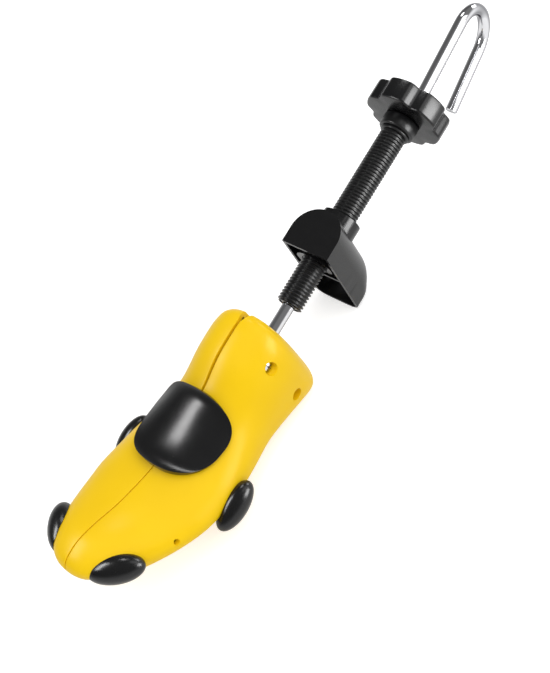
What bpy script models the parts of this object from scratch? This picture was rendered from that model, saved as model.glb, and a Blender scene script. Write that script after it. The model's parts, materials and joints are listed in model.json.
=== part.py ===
"""A two-way shoe stretcher: a split last that opens sideways and a heel block that moves lengthways.

The hooked steel rod turns in a yoke inside the last. Its thread drives a crosshead, whose two pins run in
curved cam tracks and swing the halves of the last apart. The knob turns a threaded tube on the same rod, and
the tube drives the heel block.

Every piece is drawn in the rod's frame: x runs from the toe to the hook along the rod, z is up and y is
across, with the right half at -y. The frame is then tilted until the last and the heel block both touch
the ground.
"""

import math

import bmesh
import bpy
from mathutils import Matrix, Vector

MM = 0.001

# Fits and cutters
SEAT_GAP = 0.3 * MM
RUN_GAP = 0.4 * MM
OVERRUN = 6.0 * MM
ROUND_SIDES = 24
PIN_SIDES = 16
SETTLE_STEPS = 40

# The last: outer form, as shares of its own sizes
LAST_REAR = -25.0 * MM
LAST_RUN = 168.0 * MM
TOE_RISE = 58.0 * MM
BALL_HALF_WIDTH = 41.0 * MM
HEEL_DROP = 42.5 * MM
SOLE_ANGLE = math.radians(24.6)
REAR_REACH = 2.0 * MM
REAR_LEAN = 5.0 * MM
REAR_ROUND = 9.5 * MM
TOE_SPRING = 3.0 * MM
LAST_WALL = 3.0 * MM
SEAM_GAP = 0.3 * MM
LEAN_ENDS_share = 0.30
REAR_ROUND_ENDS_share = 0.06
TOE_SPRING_STARTS_share = 0.95
TOP_shares = (
    (0.0, 0.56), (0.015, 0.615), (0.03, 0.642), (0.055, 0.655), (0.16, 0.65), (0.30, 0.548),
    (0.45, 0.517), (0.60, 0.578), (0.70, 0.681), (0.76, 0.757), (0.85, 0.917), (0.93, 1.0),
    (0.97, 0.986), (0.99, 0.914), (1.0, 0.845),
)
WIDTH_shares = (
    (0.0, 0.45), (0.015, 0.573), (0.035, 0.66), (0.06, 0.702), (0.12, 0.72), (0.30, 0.756),
    (0.42, 0.878), (0.55, 0.985), (0.66, 1.0), (0.75, 0.927), (0.84, 0.793), (0.91, 0.646),
    (0.96, 0.512), (0.985, 0.39), (1.0, 0.25),
)
WIDEST_LEVEL_shares = ((0.0, 0.42), (0.3, 0.33), (0.6, 0.27), (0.8, 0.30), (1.0, 0.45))
UPPER_SQUARENESS_shares = ((0.0, 2.6), (0.3, 2.15), (0.5, 2.0), (0.75, 1.95), (1.0, 2.2))
LOWER_SQUARENESS_shares = ((0.0, 4.5), (0.5, 3.5), (1.0, 2.6))
STATION_shares = (
    0.0, 0.015, 0.035, 0.06, 0.10, 0.16, 0.23, 0.30, 0.37, 0.44, 0.51, 0.58, 0.65, 0.71, 0.77,
    0.83, 0.88, 0.92, 0.95, 0.975, 0.99, 1.0,
)
CAVITY_share = (0.02, 0.955)
SECTION_STEPS = 18
CAVITY_SECTION_STEPS = 12
CAVITY_STATION_STEPS = 12
RIB_shares = (0.477, 0.72)
RIB_THICKNESS = 2.0 * MM
PLUG_HOLE_share = (0.757, 0.47)
PLUG_HOLE_RADIUS = 1.8 * MM

# The hinge at the rear of the last
HINGE_X = -31.0 * MM
OPENING = math.radians(15.0)
PIN_RADIUS = 2.0 * MM
KNUCKLE_RADIUS = 4.2 * MM
KNUCKLE_HEIGHT = 3.6 * MM
FIRST_KNUCKLE_Z = 8.0 * MM
PIN_END = 0.8 * MM
SPINE_DEPTH = 3.0 * MM
SPINE_SETBACK = 5.5 * MM
SPINE_HALF_WIDTH = 6.5 * MM
HUB_LENGTH = 9.5 * MM
HUB_RADIUS = 9.5 * MM
REAR_OPENING_MARGIN = 1.0 * MM
LEAF_INNER_Y = 10.5 * MM
LEAF_THICKNESS = 3.0 * MM
LEAF_LENGTH = 21.0 * MM
LEAF_REAR_SETBACK = 1.5 * MM
LEAF_TOP_Z = 24.6 * MM
LEAF_BOTTOM_Z = -18.0 * MM
ARM_HALF_DEPTH = 3.0 * MM
SCREW_PLACES = (("upper", 13.3 * MM, 20.8 * MM), ("lower", 15.7 * MM, -12.7 * MM))
SCREW_SHANK_RADIUS = 1.8 * MM
SCREW_HEAD_RADIUS = 3.4 * MM
SCREW_HEAD_HEIGHT = 2.6 * MM
SCREW_TIP = 1.5 * MM
SCREW_SEAT = 5.0 * MM
RECESS_RADIUS = 4.0 * MM
BOSS_RADIUS = 6.5 * MM

# The rod and what it carries
ROD_RADIUS = 4.0 * MM
ROD_SIDES = 16
ROD_TOE_END = 69.5 * MM
BUSH_WALL = 2.0 * MM
BUSH_FLANGE = 1.5 * MM
BUSH_FLANGE_RADIUS = 8.0 * MM
WASHER_THICKNESS = 1.2 * MM
COLLAR_LENGTH = 3.4 * MM
COLLAR_RADIUS = 6.8 * MM
END_NUT_LENGTH = 3.4 * MM
END_NUT_RADIUS = 5.2 * MM
END_NUT_SIDES = 6

# The hook, bent in the upright plane of the rod
HOOK_START_MARGIN = 0.2 * MM
CRANK_RADIUS = 8.0 * MM
CRANK_ANGLE = math.radians(40.0)
HOOK_LEAN = math.radians(7.0)
HOOK_LEG = 49.0 * MM
HOOK_BEND_RADIUS = 19.0 * MM
HOOK_BEND_ANGLE = math.radians(172.0)
HOOK_TAIL = 43.0 * MM
BEND_STEP = math.radians(12.0)

# The crosshead and its cam tracks
CROSSHEAD_SETBACK = 29.0 * MM
CROSSHEAD_HALF_DEPTH = 5.0 * MM
CROSSHEAD_HALF_HEIGHT = 6.5 * MM
CROSSHEAD_END = 3.5 * MM
CROSSHEAD_TRAVEL = 26.25 * MM
FOLLOWER_Y = 21.5 * MM
FOLLOWER_RADIUS = 2.5 * MM
FOLLOWER_RISE = 5.0 * MM
TRACK_THICKNESS = 2.8 * MM
TRACK_LIFT = 1.1 * MM
TRACK_WALL = 2.2 * MM
TRACK_OUTER_Y = 27.0 * MM
TRACK_STEPS = 10
LEDGE_Y = 25.6 * MM
LEDGE_MARGIN = 3.0 * MM

# The instep saddle
SADDLE_CENTRE_share = 0.446
SADDLE_HALF_LENGTH = 25.2 * MM
SADDLE_HALF_WIDTH = 26.8 * MM
SADDLE_SQUARENESS_share = 2.4
SADDLE_SEAT = 0.5 * MM
SADDLE_THIN = 2.6 * MM
SADDLE_LIP = 3.4 * MM
SADDLE_COLUMN_STEPS = 16
SADDLE_ROW_STEPS = 8
SADDLE_TIP_share = 0.995
SADDLE_PEG_RADIUS = 2.5 * MM
SADDLE_PEG_DROP = 16.0 * MM

# The four side pads: share of the run, level above the sole, half sizes along, up and out
BALL_PAD_share = 0.567
BALL_PAD_LEVEL = 5.5 * MM
BALL_PAD_HALF_SIZES = (17.5 * MM, 8.8 * MM, 8.0 * MM)
BALL_PAD_SINK = -3.0 * MM
TOE_PAD_share = 0.925
TOE_PAD_LEVEL = 15.0 * MM
TOE_PAD_HALF_SIZES = (16.0 * MM, 8.4 * MM, 8.2 * MM)
TOE_PAD_OUT = 23.8 * MM
TOE_PAD_TURN = math.radians(45.0)
PAD_PEG_RADIUS = 2.5 * MM
PAD_PEG_LENGTH = 9.0 * MM
PAD_SIDES = 18
PAD_RING_STEPS = 10

# The length screw: tube and knob
TUBE_RADIUS = 8.5 * MM
TUBE_BORE = 4.5 * MM
TUBE_TOE_END = -3.2 * MM
TUBE_LENGTH = 122.5 * MM
BEAD_RADIUS = 9.7 * MM
BEAD_LENGTH = 2.0 * MM
TUBE_COLLAR_RADIUS = 11.8 * MM
TUBE_COLLAR_LENGTH = 8.5 * MM
SPIGOT_RADIUS = 7.0 * MM
SPIGOT_END = 3.5 * MM
STOP_RING_RADIUS = 6.2 * MM
STOP_RING_LENGTH = 2.2 * MM
STOP_RING_INSET = 0.6 * MM
CLIP_THICKNESS = 1.2 * MM
CLIP_RADIUS = 6.8 * MM
KNOB_RING_RADIUS = 10.0 * MM
KNOB_RADIUS = 25.8 * MM
KNOB_THICKNESS = 14.2 * MM
KNOB_CHAMFER = 1.8 * MM
KNOB_WEB = 8.5 * MM
KNOB_DISH_RADIUS = 13.0 * MM
KNOB_SIDES = 6
NOTCH_RADIUS = 8.0 * MM
NOTCH_DEPTH = 3.2 * MM
NOTCH_STEPS = 6
LOBE_STEPS = 6

# The heel block
BLOCK_FRONT_TOP_X = 27.6 * MM
BLOCK_FRONT_BOTTOM_X = 23.7 * MM
BLOCK_DEPTH = 28.0 * MM
BLOCK_HALF_WIDTH = 17.2 * MM
BLOCK_TOP_Z = 18.2 * MM
BLOCK_HEIGHT = 67.7 * MM
BLOCK_WALL = 2.0 * MM
BLOCK_SHELF_Z = -9.5 * MM
BLOCK_BACK_TAPER = 2.5 * MM
BLOCK_FOOT_DEPTH = 10.0 * MM
BLOCK_FOOT_ROUND = 20.0 * MM
BLOCK_KEEL_DROP = 6.0 * MM
BLOCK_KEEL_SPREAD = 11.0 * MM
BLOCK_LEVEL_STEPS = 11
BLOCK_ARC_STEPS = 14
BLOCK_ROUND_share = 0.7
NUT_RADIUS = 12.5 * MM
NUT_BACK_X = 60.0 * MM
NUT_FRONT_X = 43.0 * MM

COLOURS = {
    "yellow_plastic": ((0.92, 0.60, 0.01), 0.28, 0.0),
    "black_plastic": ((0.015, 0.015, 0.016), 0.25, 0.0),
    "chromed_steel": ((0.62, 0.62, 0.64), 0.12, 1.0),
    "zinc_steel": ((0.48, 0.48, 0.50), 0.35, 1.0),
    "brass": ((0.72, 0.52, 0.20), 0.30, 1.0),
    "white_nylon": ((0.80, 0.79, 0.74), 0.50, 0.0),
}


def clear_scene():
    for old in list(bpy.data.objects):
        bpy.data.objects.remove(old, do_unlink=True)


def material(name):
    found = bpy.data.materials.get(name)
    if found:
        return found
    colour, roughness, metallic = COLOURS[name]
    made = bpy.data.materials.new(name)
    made.use_nodes = True
    shader = made.node_tree.nodes["Principled BSDF"]
    shader.inputs["Base Color"].default_value = (*colour, 1.0)
    shader.inputs["Roughness"].default_value = roughness
    shader.inputs["Metallic"].default_value = metallic
    return made


def follow(shares, place):
    """The value at a place on a smooth curve through (place, value) shares, which never overshoots them."""
    places = [share[0] for share in shares]
    values = [share[1] for share in shares]
    rises = [
        (values[i + 1] - values[i]) / (places[i + 1] - places[i]) for i in range(len(shares) - 1)
    ]
    slopes = [rises[0]]
    for before, after in zip(rises, rises[1:]):
        turning = before * after <= 0
        slopes.append(0.0 if turning else 2 * before * after / (before + after))
    slopes.append(rises[-1])
    place = min(max(place, places[0]), places[-1])
    i = max(k for k in range(len(shares) - 1) if places[k] <= place)
    step = places[i + 1] - places[i]
    t = (place - places[i]) / step
    return (
        (2 * t**3 - 3 * t**2 + 1) * values[i]
        + (t**3 - 2 * t**2 + t) * step * slopes[i]
        + (3 * t**2 - 2 * t**3) * values[i + 1]
        + (t**3 - t**2) * step * slopes[i + 1]
    )


# Mesh helpers


def finished(mesh):
    """A mesh with its faces turned outwards and split into flat triangles."""
    bmesh.ops.recalc_face_normals(mesh, faces=mesh.faces)
    if mesh.calc_volume(signed=True) < 0:
        bmesh.ops.reverse_faces(mesh, faces=mesh.faces)
    bmesh.ops.triangulate(mesh, faces=mesh.faces)
    return mesh


def loft(rings, ends=True):
    """A closed skin through rings of as many points each."""
    mesh = bmesh.new()
    rows = [[mesh.verts.new(point) for point in ring] for ring in rings]
    count = len(rows[0])
    for row, following in zip(rows, rows[1:]):
        for i in range(count):
            j = (i + 1) % count
            mesh.faces.new((row[i], row[j], following[j], following[i]))
    if ends:
        mesh.faces.new(rows[0])
        mesh.faces.new(list(reversed(rows[-1])))
    else:
        for i in range(count):
            j = (i + 1) % count
            mesh.faces.new((rows[-1][i], rows[-1][j], rows[0][j], rows[0][i]))
    return finished(mesh)


def turned(profile, sides=ROUND_SIDES):
    """A ring-shaped solid: a closed (x, radius) profile turned about the rod."""
    rings = []
    for k in range(sides):
        turn = 2 * math.pi * k / sides
        rings.append([Vector((x, r * math.sin(turn), r * math.cos(turn))) for x, r in profile])
    return loft(rings, ends=False)


def bar(start, end, radius, sides=PIN_SIDES):
    """A round bar between two points."""
    mesh = bmesh.new()
    start = Vector(start)
    end = Vector(end)
    turn = (end - start).to_track_quat("Z", "Y").to_matrix().to_4x4()
    place = Matrix.Translation((start + end) / 2) @ turn
    length = (end - start).length
    bmesh.ops.create_cone(
        mesh, cap_ends=True, segments=sides, radius1=radius, radius2=radius, depth=length, matrix=place
    )
    return finished(mesh)


def box(low, high):
    mesh = bmesh.new()
    low = Vector(low)
    high = Vector(high)
    size = high - low
    place = Matrix.Translation((low + high) / 2) @ Matrix.Diagonal((*size, 1.0))
    bmesh.ops.create_cube(mesh, size=1, matrix=place)
    return finished(mesh)


def span(low, high):
    """A box between two corners given in any order."""
    return box([min(pair) for pair in zip(low, high)], [max(pair) for pair in zip(low, high)])


def plate(outline, low, high):
    """An (x, y) outline extruded from one level to another."""
    return loft([[Vector((x, y, z)) for x, y in outline] for z in (low, high)])


def dome(centre, half_sizes, turn):
    """An ellipsoid with the given half sizes along its own three axes."""
    mesh = bmesh.new()
    shape = Matrix.Diagonal((*half_sizes, 1.0))
    place = Matrix.Translation(centre) @ turn.to_4x4() @ shape
    bmesh.ops.create_uvsphere(
        mesh, u_segments=PAD_SIDES, v_segments=PAD_RING_STEPS, radius=1, matrix=place
    )
    return finished(mesh)


def swept(path, normals, across, radius, sides):
    """A round bar along a flat path, with a ring of points square to each point of it."""
    rings = []
    for point, normal in zip(path, normals):
        ring = []
        for k in range(sides):
            turn = 2 * math.pi * k / sides
            ring.append(point + radius * (math.cos(turn) * normal + math.sin(turn) * across))
        rings.append(ring)
    return loft(rings)


def add_piece(name, mesh, colour, origin, frame, smooth_below=35.0):
    """An object whose origin lies at a point of the rod's frame."""
    origin = Vector(origin)
    bmesh.ops.translate(mesh, verts=mesh.verts, vec=-origin)
    data = bpy.data.meshes.new(name)
    mesh.to_mesh(data)
    mesh.free()
    data.materials.append(material(colour))
    data.shade_smooth()
    data.set_sharp_from_angle(angle=math.radians(smooth_below))
    made = bpy.data.objects.new(name, data)
    bpy.context.collection.objects.link(made)
    made.parent = frame
    made.location = origin
    return made


def mesh_of(piece):
    """A piece's own mesh in the rod's frame, as a cutter."""
    mesh = bmesh.new()
    mesh.from_mesh(piece.data)
    bmesh.ops.translate(mesh, verts=mesh.verts, vec=piece.location)
    return mesh


def mirrored(piece, name):
    """The other hand of a piece, across the upright plane of the rod."""
    mesh = mesh_of(piece)
    for vert in mesh.verts:
        vert.co.y = -vert.co.y
    origin = Vector((piece.location.x, -piece.location.y, piece.location.z))
    colour = piece.data.materials[0].name
    return add_piece(name, finished(mesh), colour, origin, piece.parent)


def combine(piece, mesh, operation):
    """Cuts a mesh from a piece, or joins it on, and keeps the result as the piece's own mesh."""
    origin = piece.location.copy()
    bmesh.ops.translate(mesh, verts=mesh.verts, vec=-origin)
    data = bpy.data.meshes.new("tool")
    mesh.to_mesh(data)
    mesh.free()
    tool = bpy.data.objects.new("tool", data)
    bpy.context.collection.objects.link(tool)
    tool.parent = piece.parent
    tool.location = origin
    tool.hide_render = True
    tool.display_type = "WIRE"
    step = piece.modifiers.new(operation.lower(), "BOOLEAN")
    step.operation = operation
    step.solver = "EXACT"
    step.object = tool
    bpy.context.view_layer.update()
    graph = bpy.context.evaluated_depsgraph_get()
    result = bpy.data.meshes.new_from_object(piece.evaluated_get(graph))
    old = piece.data
    result.name = old.name
    piece.modifiers.remove(step)
    piece.data = result
    bpy.data.objects.remove(tool, do_unlink=True)
    bpy.data.meshes.remove(old)
    bpy.data.meshes.remove(data)


def cut(piece, mesh):
    combine(piece, mesh, "DIFFERENCE")


def join(piece, mesh):
    combine(piece, mesh, "UNION")


def lathe_hole(x_low, x_high, radius, sides=ROUND_SIDES):
    return bar((x_low, 0.0, 0.0), (x_high, 0.0, 0.0), radius, sides)


# The last's outer form


def station_x(q):
    return LAST_REAR - q * LAST_RUN


def sole_z(q):
    """Height of the flat sole, before its rear is rounded off and its tip sprung up."""
    return -HEEL_DROP + q * LAST_RUN * math.tan(SOLE_ANGLE)


def section_sizes(q):
    """Top, bottom, widest level, half width and the two squarenesses at a share of the run."""
    top = TOE_RISE * follow(TOP_shares, q)
    bottom = sole_z(q)
    bottom += REAR_ROUND * max(0.0, 1 - q / REAR_ROUND_ENDS_share) ** 2
    sprung = max(0.0, q - TOE_SPRING_STARTS_share) / (1 - TOE_SPRING_STARTS_share)
    bottom += TOE_SPRING * sprung**2
    half_width = BALL_HALF_WIDTH * follow(WIDTH_shares, q)
    widest = bottom + (top - bottom) * follow(WIDEST_LEVEL_shares, q)
    upper = follow(UPPER_SQUARENESS_shares, q)
    lower = follow(LOWER_SQUARENESS_shares, q)
    return top, bottom, widest, half_width, upper, lower


def lean_at(q, z):
    """How far the rear face lies back towards the toe: it reaches out on top and lies back at the bottom."""
    fade = max(0.0, 1 - q / LEAN_ENDS_share)
    neck = TOE_RISE * follow(TOP_shares, LEAN_ENDS_share / 2)
    return fade * (REAR_LEAN * (neck - z) / (neck + HEEL_DROP) - REAR_REACH)


def seam_gap(x):
    """Half the gap between the halves, wider behind the hinge, where they swing towards each other."""
    return SEAM_GAP + max(0.0, x - HINGE_X) * math.tan(OPENING)


def half_section(q, side, inset, points):
    """The outline of one half across the rod, from the seam on top round the side to the seam below.

    A hollow has an inset and runs on past the seam, so that it is open there.
    """
    top, bottom, widest, half_width, upper, lower = section_sizes(q)
    top -= inset
    bottom += inset
    half_width -= inset
    outline = []
    for k in range(points):
        turn = math.pi / 2 - math.pi * k / (points - 1)
        above = turn >= 0
        power = 2 / (upper if above else lower)
        reach = (top - widest) if above else (widest - bottom)
        across = half_width * max(0.0, math.cos(turn)) ** power
        z = widest + math.copysign(abs(math.sin(turn)) ** power, turn) * reach
        x = station_x(q) - lean_at(q, z)
        outline.append([x, across, z])
    if inset > 0:
        outline[0][1] = -OVERRUN
        outline[-1][1] = -OVERRUN
    if inset == 0:
        for place in outline:
            place[1] = max(place[1], seam_gap(place[0]))
    return [Vector((x, side * across, z)) for x, across, z in outline]


def last_half_solid(side):
    rings = [half_section(q, side, 0.0, SECTION_STEPS) for q in STATION_shares]
    return loft(rings)


def cavity_solid(side, q_low, q_high):
    rings = []
    for k in range(CAVITY_STATION_STEPS):
        q = q_low + (q_high - q_low) * k / (CAVITY_STATION_STEPS - 1)
        rings.append(half_section(q, side, LAST_WALL, CAVITY_SECTION_STEPS))
    return loft(rings)


def grown_last():
    """The closed last, a seat's gap larger all round, which cuts the backs of the pads to fit it."""
    rings = []
    for q in STATION_shares:
        right = half_section(q, -1, -SEAT_GAP, SECTION_STEPS)
        left = half_section(q, 1, -SEAT_GAP, SECTION_STEPS)
        rings.append(right + list(reversed(left[1:-1])))
    mesh = loft(rings)
    stretch = 1 + 2 * SEAT_GAP / LAST_RUN
    centre = station_x(0.5)
    for vert in mesh.verts:
        vert.co.x = centre + (vert.co.x - centre) * stretch
    return mesh


def crown_z(x, y):
    """Height of the last's upper surface above a point of its plan."""
    q = (LAST_REAR - x) / LAST_RUN
    top, _, widest, half_width, upper, _ = section_sizes(q)
    inside = max(0.0, 1 - (abs(y) / half_width) ** upper)
    return widest + (top - widest) * inside ** (1 / upper)


def crown_normal(x, y):
    step = SEAT_GAP
    slope_x = (crown_z(x + step, y) - crown_z(x - step, y)) / (2 * step)
    slope_y = (crown_z(x, y + step) - crown_z(x, y - step)) / (2 * step)
    return Vector((-slope_x, -slope_y, 1.0)).normalized()


# The last's halves and what is fastened in them


def track_levels():
    low = CROSSHEAD_HALF_HEIGHT + TRACK_LIFT
    return low, low + TRACK_THICKNESS


def track_path():
    """Where a follower pin lies in the right half's plan as the crosshead travels and the half swings out."""
    path = []
    for k in range(TRACK_STEPS + 1):
        part = k / TRACK_STEPS
        turn = OPENING * part
        ahead = CROSSHEAD_SETBACK + CROSSHEAD_TRAVEL * part
        across = FOLLOWER_Y * math.cos(turn) - ahead * math.sin(turn)
        along = ahead * math.cos(turn) + FOLLOWER_Y * math.sin(turn)
        path.append(Vector((HINGE_X - along, across)))
    return path


def beside(path, distance):
    """A line at a distance to one side of a path."""
    line = []
    for k, point in enumerate(path):
        before = path[max(k - 1, 0)]
        after = path[min(k + 1, len(path) - 1)]
        along = (after - before).normalized()
        line.append(point + distance * Vector((along.y, -along.x)))
    return line


def round_end(centre, ahead, radius):
    """The half circle of points that closes a slot at a centre, past which the slot would run ahead."""
    start = math.atan2(ahead.y, ahead.x) - math.pi / 2
    steps = PIN_SIDES // 2
    turns = [start + math.pi * k / steps for k in range(1, steps)]
    return [centre + radius * Vector((math.cos(turn), math.sin(turn))) for turn in turns]


def slot_outline():
    """The slot round a follower pin's path, as points of the right half's plan."""
    path = track_path()
    reach = FOLLOWER_RADIUS + RUN_GAP
    outline = beside(path, reach)
    outline += round_end(path[-1], path[-1] - path[-2], reach)
    outline += reversed(beside(path, -reach))
    outline += round_end(path[0], path[0] - path[1], reach)
    return outline


def add_half(name, side, frame):
    half = add_piece(name, last_half_solid(side), "yellow_plastic", (HINGE_X, 0.0, 0.0), frame)
    hollow = add_piece(
        name + "_hollow", cavity_solid(side, *CAVITY_share), "yellow_plastic", (HINGE_X, 0.0, 0.0), frame
    )
    far = BALL_HALF_WIDTH + OVERRUN
    tall = TOE_RISE + OVERRUN
    for share in RIB_shares:
        x = station_x(share)
        cut(hollow, box((x - RIB_THICKNESS / 2, -far, -tall), (x + RIB_THICKNESS / 2, far, tall)))
    boss_y = LEAF_INNER_Y + LEAF_THICKNESS + SEAT_GAP
    for _, setback, z in SCREW_PLACES:
        x = HINGE_X - setback
        cut(hollow, bar((x, side * boss_y, z), (x, side * far, z), BOSS_RADIUS))
    low, high = track_levels()
    path = track_path()
    rear_x = path[0].x + FOLLOWER_RADIUS + TRACK_WALL + LEDGE_MARGIN
    toe_x = path[-1].x - FOLLOWER_RADIUS - TRACK_WALL - LEDGE_MARGIN
    ledge = (toe_x, side * LEDGE_Y, low - LEDGE_MARGIN), (rear_x, side * far, high + LEDGE_MARGIN)
    cut(hollow, span(*ledge))
    cut(half, mesh_of(hollow))
    bpy.data.objects.remove(hollow, do_unlink=True)
    groove_toe = toe_x + LEDGE_MARGIN - SEAT_GAP
    groove_rear = rear_x - LEDGE_MARGIN + SEAT_GAP
    groove_y = TRACK_OUTER_Y + SEAT_GAP
    groove = (groove_toe, 0.0, low - SEAT_GAP), (groove_rear, side * groove_y, high + SEAT_GAP)
    cut(half, span(*groove))
    mouths = (
        (KNUCKLE_RADIUS, pin_stack_top()),
        (LEAF_INNER_Y + LEAF_THICKNESS, knuckle_level(2)[1]),
    )
    for across, up in mouths:
        y = side * (across + REAR_OPENING_MARGIN)
        z = up + REAR_OPENING_MARGIN
        mouth = (HINGE_X - ARM_HALF_DEPTH, -side * OVERRUN, -z), (LAST_REAR + OVERRUN, y, z)
        cut(half, span(*mouth))
    seat_y = boss_y + SCREW_SEAT
    for _, setback, z in SCREW_PLACES:
        x = HINGE_X - setback
        cut(half, bar((x, side * seat_y, z), (x, side * far, z), RECESS_RADIUS))
        cut(half, bar((x, side * LEAF_INNER_Y, z), (x, side * far, z), SCREW_SHANK_RADIUS + RUN_GAP))
    share, height_share = PLUG_HOLE_share
    top, bottom, *_ = section_sizes(share)
    z = bottom + (top - bottom) * height_share
    x = station_x(share)
    cut(half, bar((x, side * BALL_HALF_WIDTH / 2, z), (x, side * far, z), PLUG_HOLE_RADIUS))
    for centre, out, _ in pad_places(side):
        deep = centre - out * (PAD_PEG_LENGTH + OVERRUN)
        cut(half, bar(deep, centre + out * OVERRUN, PAD_PEG_RADIUS + RUN_GAP))
    x = station_x(SADDLE_CENTRE_share)
    cut(half, bar((x, 0.0, track_levels()[1]), (x, 0.0, tall), SADDLE_PEG_RADIUS + RUN_GAP))
    return half


def knuckle_level(place):
    """Lowest and highest level of one place in the upper stack of knuckles, counted from the rod."""
    low = FIRST_KNUCKLE_Z + place * (KNUCKLE_HEIGHT + SEAT_GAP)
    return low, low + KNUCKLE_HEIGHT


def pin_stack_top():
    return knuckle_level(3)[1] + PIN_END + SEAT_GAP


def mirrored_levels(place):
    low, high = knuckle_level(place)
    return (low, high), (-high, -low)


def add_yoke(frame):
    hub_front = HINGE_X - SPINE_SETBACK - HUB_LENGTH
    hub_back = HINGE_X - SPINE_SETBACK
    top = knuckle_level(3)[1]
    yoke = add_piece(
        "hinge_yoke", lathe_hole(hub_front, hub_back, HUB_RADIUS), "zinc_steel", (HINGE_X, 0.0, 0.0), frame
    )
    join(yoke, box((hub_back - SPINE_DEPTH, -SPINE_HALF_WIDTH, -top), (hub_back, SPINE_HALF_WIDTH, top)))
    for place in (0, 3):
        for low, high in mirrored_levels(place):
            join(yoke, box(
                (hub_back - SPINE_DEPTH / 2, -KNUCKLE_RADIUS, low), (HINGE_X, KNUCKLE_RADIUS, high)
            ))
            join(yoke, bar((HINGE_X, 0.0, low), (HINGE_X, 0.0, high), KNUCKLE_RADIUS))
    reach = top + OVERRUN
    cut(yoke, bar((HINGE_X, 0.0, -reach), (HINGE_X, 0.0, reach), PIN_RADIUS + SEAT_GAP))
    bore = ROD_RADIUS + BUSH_WALL + 2 * SEAT_GAP
    cut(yoke, lathe_hole(hub_front - OVERRUN, hub_back + OVERRUN, bore))


def add_hinge_pins(frame):
    low = FIRST_KNUCKLE_Z - PIN_END
    high = knuckle_level(3)[1] + PIN_END
    for name, sign in (("upper", 1), ("lower", -1)):
        ends = (HINGE_X, 0.0, sign * low), (HINGE_X, 0.0, sign * high)
        add_piece("hinge_pin_" + name, bar(*ends, PIN_RADIUS), "zinc_steel", (HINGE_X, 0.0, 0.0), frame)


def add_leaf(name, side, place, frame):
    """A hinge leaf: two knuckles on the pins, two arms and the plate that the half is screwed to."""
    rear_x = HINGE_X - LEAF_REAR_SETBACK
    front_x = HINGE_X - LEAF_REAR_SETBACK - LEAF_LENGTH
    outer_y = LEAF_INNER_Y + LEAF_THICKNESS
    leaf = add_piece(
        name,
        span((front_x, side * LEAF_INNER_Y, LEAF_BOTTOM_Z), (rear_x, side * outer_y, LEAF_TOP_Z)),
        "zinc_steel",
        (HINGE_X, 0.0, 0.0),
        frame,
    )
    for low, high in mirrored_levels(place):
        arm_low = max(low, LEAF_BOTTOM_Z)
        arm = span(
            (HINGE_X - ARM_HALF_DEPTH, 0.0, arm_low),
            (HINGE_X + ARM_HALF_DEPTH, side * (LEAF_INNER_Y + LEAF_THICKNESS / 2), high),
        )
        join(leaf, arm)
        join(leaf, bar((HINGE_X, 0.0, low), (HINGE_X, 0.0, high), KNUCKLE_RADIUS))
    reach = pin_stack_top() + OVERRUN
    cut(leaf, bar((HINGE_X, 0.0, -reach), (HINGE_X, 0.0, reach), PIN_RADIUS + SEAT_GAP))
    for _, setback, z in SCREW_PLACES:
        x = HINGE_X - setback
        cut(leaf, bar((x, 0.0, z), (x, side * (outer_y + OVERRUN), z), SCREW_SHANK_RADIUS + SEAT_GAP))


def add_leaf_screws(word, side, frame):
    seat_y = LEAF_INNER_Y + LEAF_THICKNESS + SEAT_GAP + SCREW_SEAT + SEAT_GAP
    tip_y = LEAF_INNER_Y - SCREW_TIP
    screws = []
    for level, setback, z in SCREW_PLACES:
        x = HINGE_X - setback
        head = bar((x, side * seat_y, z), (x, side * (seat_y + SCREW_HEAD_HEIGHT), z), SCREW_HEAD_RADIUS)
        screw = add_piece(f"leaf_screw_{word}_{level}", head, "chromed_steel", (x, side * seat_y, z), frame)
        middle_y = seat_y + SCREW_HEAD_HEIGHT / 2
        join(screw, bar((x, side * tip_y, z), (x, side * middle_y, z), SCREW_SHANK_RADIUS))
        screws.append(screw)
    return screws


def add_track(name, side, frame):
    """A cam track: a plate in a groove of the half, with the slot that a follower pin runs in."""
    low, high = track_levels()
    path = track_path()
    wall = FOLLOWER_RADIUS + RUN_GAP + TRACK_WALL
    inner = [
        Vector((point.x, max(point.y, SEAM_GAP + SEAT_GAP))) for point in beside(path, -wall)
    ]
    rear_x = path[0].x + FOLLOWER_RADIUS + TRACK_WALL
    toe_x = path[-1].x - FOLLOWER_RADIUS - TRACK_WALL
    outline = [Vector((rear_x, TRACK_OUTER_Y)), Vector((rear_x, inner[0].y))]
    outline += [point for point in inner if toe_x < point.x < rear_x]
    outline += [Vector((toe_x, inner[-1].y)), Vector((toe_x, TRACK_OUTER_Y))]
    solid = plate([(point.x, side * point.y) for point in outline], low, high)
    track = add_piece(name, solid, "white_nylon", (HINGE_X, 0.0, 0.0), frame)
    slot = [(point.x, side * point.y) for point in slot_outline()]
    cut(track, plate(slot, low - OVERRUN, high + OVERRUN))
    return track


def pad_places(side):
    """Seat centre, outward direction and size of each pad on one side."""
    q = BALL_PAD_share
    _, bottom, widest, half_width, _, lower = section_sizes(q)
    z = bottom + BALL_PAD_LEVEL
    below = min(1.0, max(0.0, widest - z) / (widest - bottom))
    y = half_width * (1 - below**lower) ** (1 / lower) - BALL_PAD_SINK
    ball = Vector((station_x(q), side * y, z))
    along = Vector((math.cos(SOLE_ANGLE), 0.0, -math.sin(SOLE_ANGLE)))
    across = Vector((0.0, side, 0.0))
    q = TOE_PAD_share
    toe = Vector((station_x(q), side * TOE_PAD_OUT, sole_z(q) + TOE_PAD_LEVEL))
    forward = across * math.cos(TOE_PAD_TURN) - along * math.sin(TOE_PAD_TURN)
    return ((ball, across, BALL_PAD_HALF_SIZES), (toe, forward, TOE_PAD_HALF_SIZES))


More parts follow.
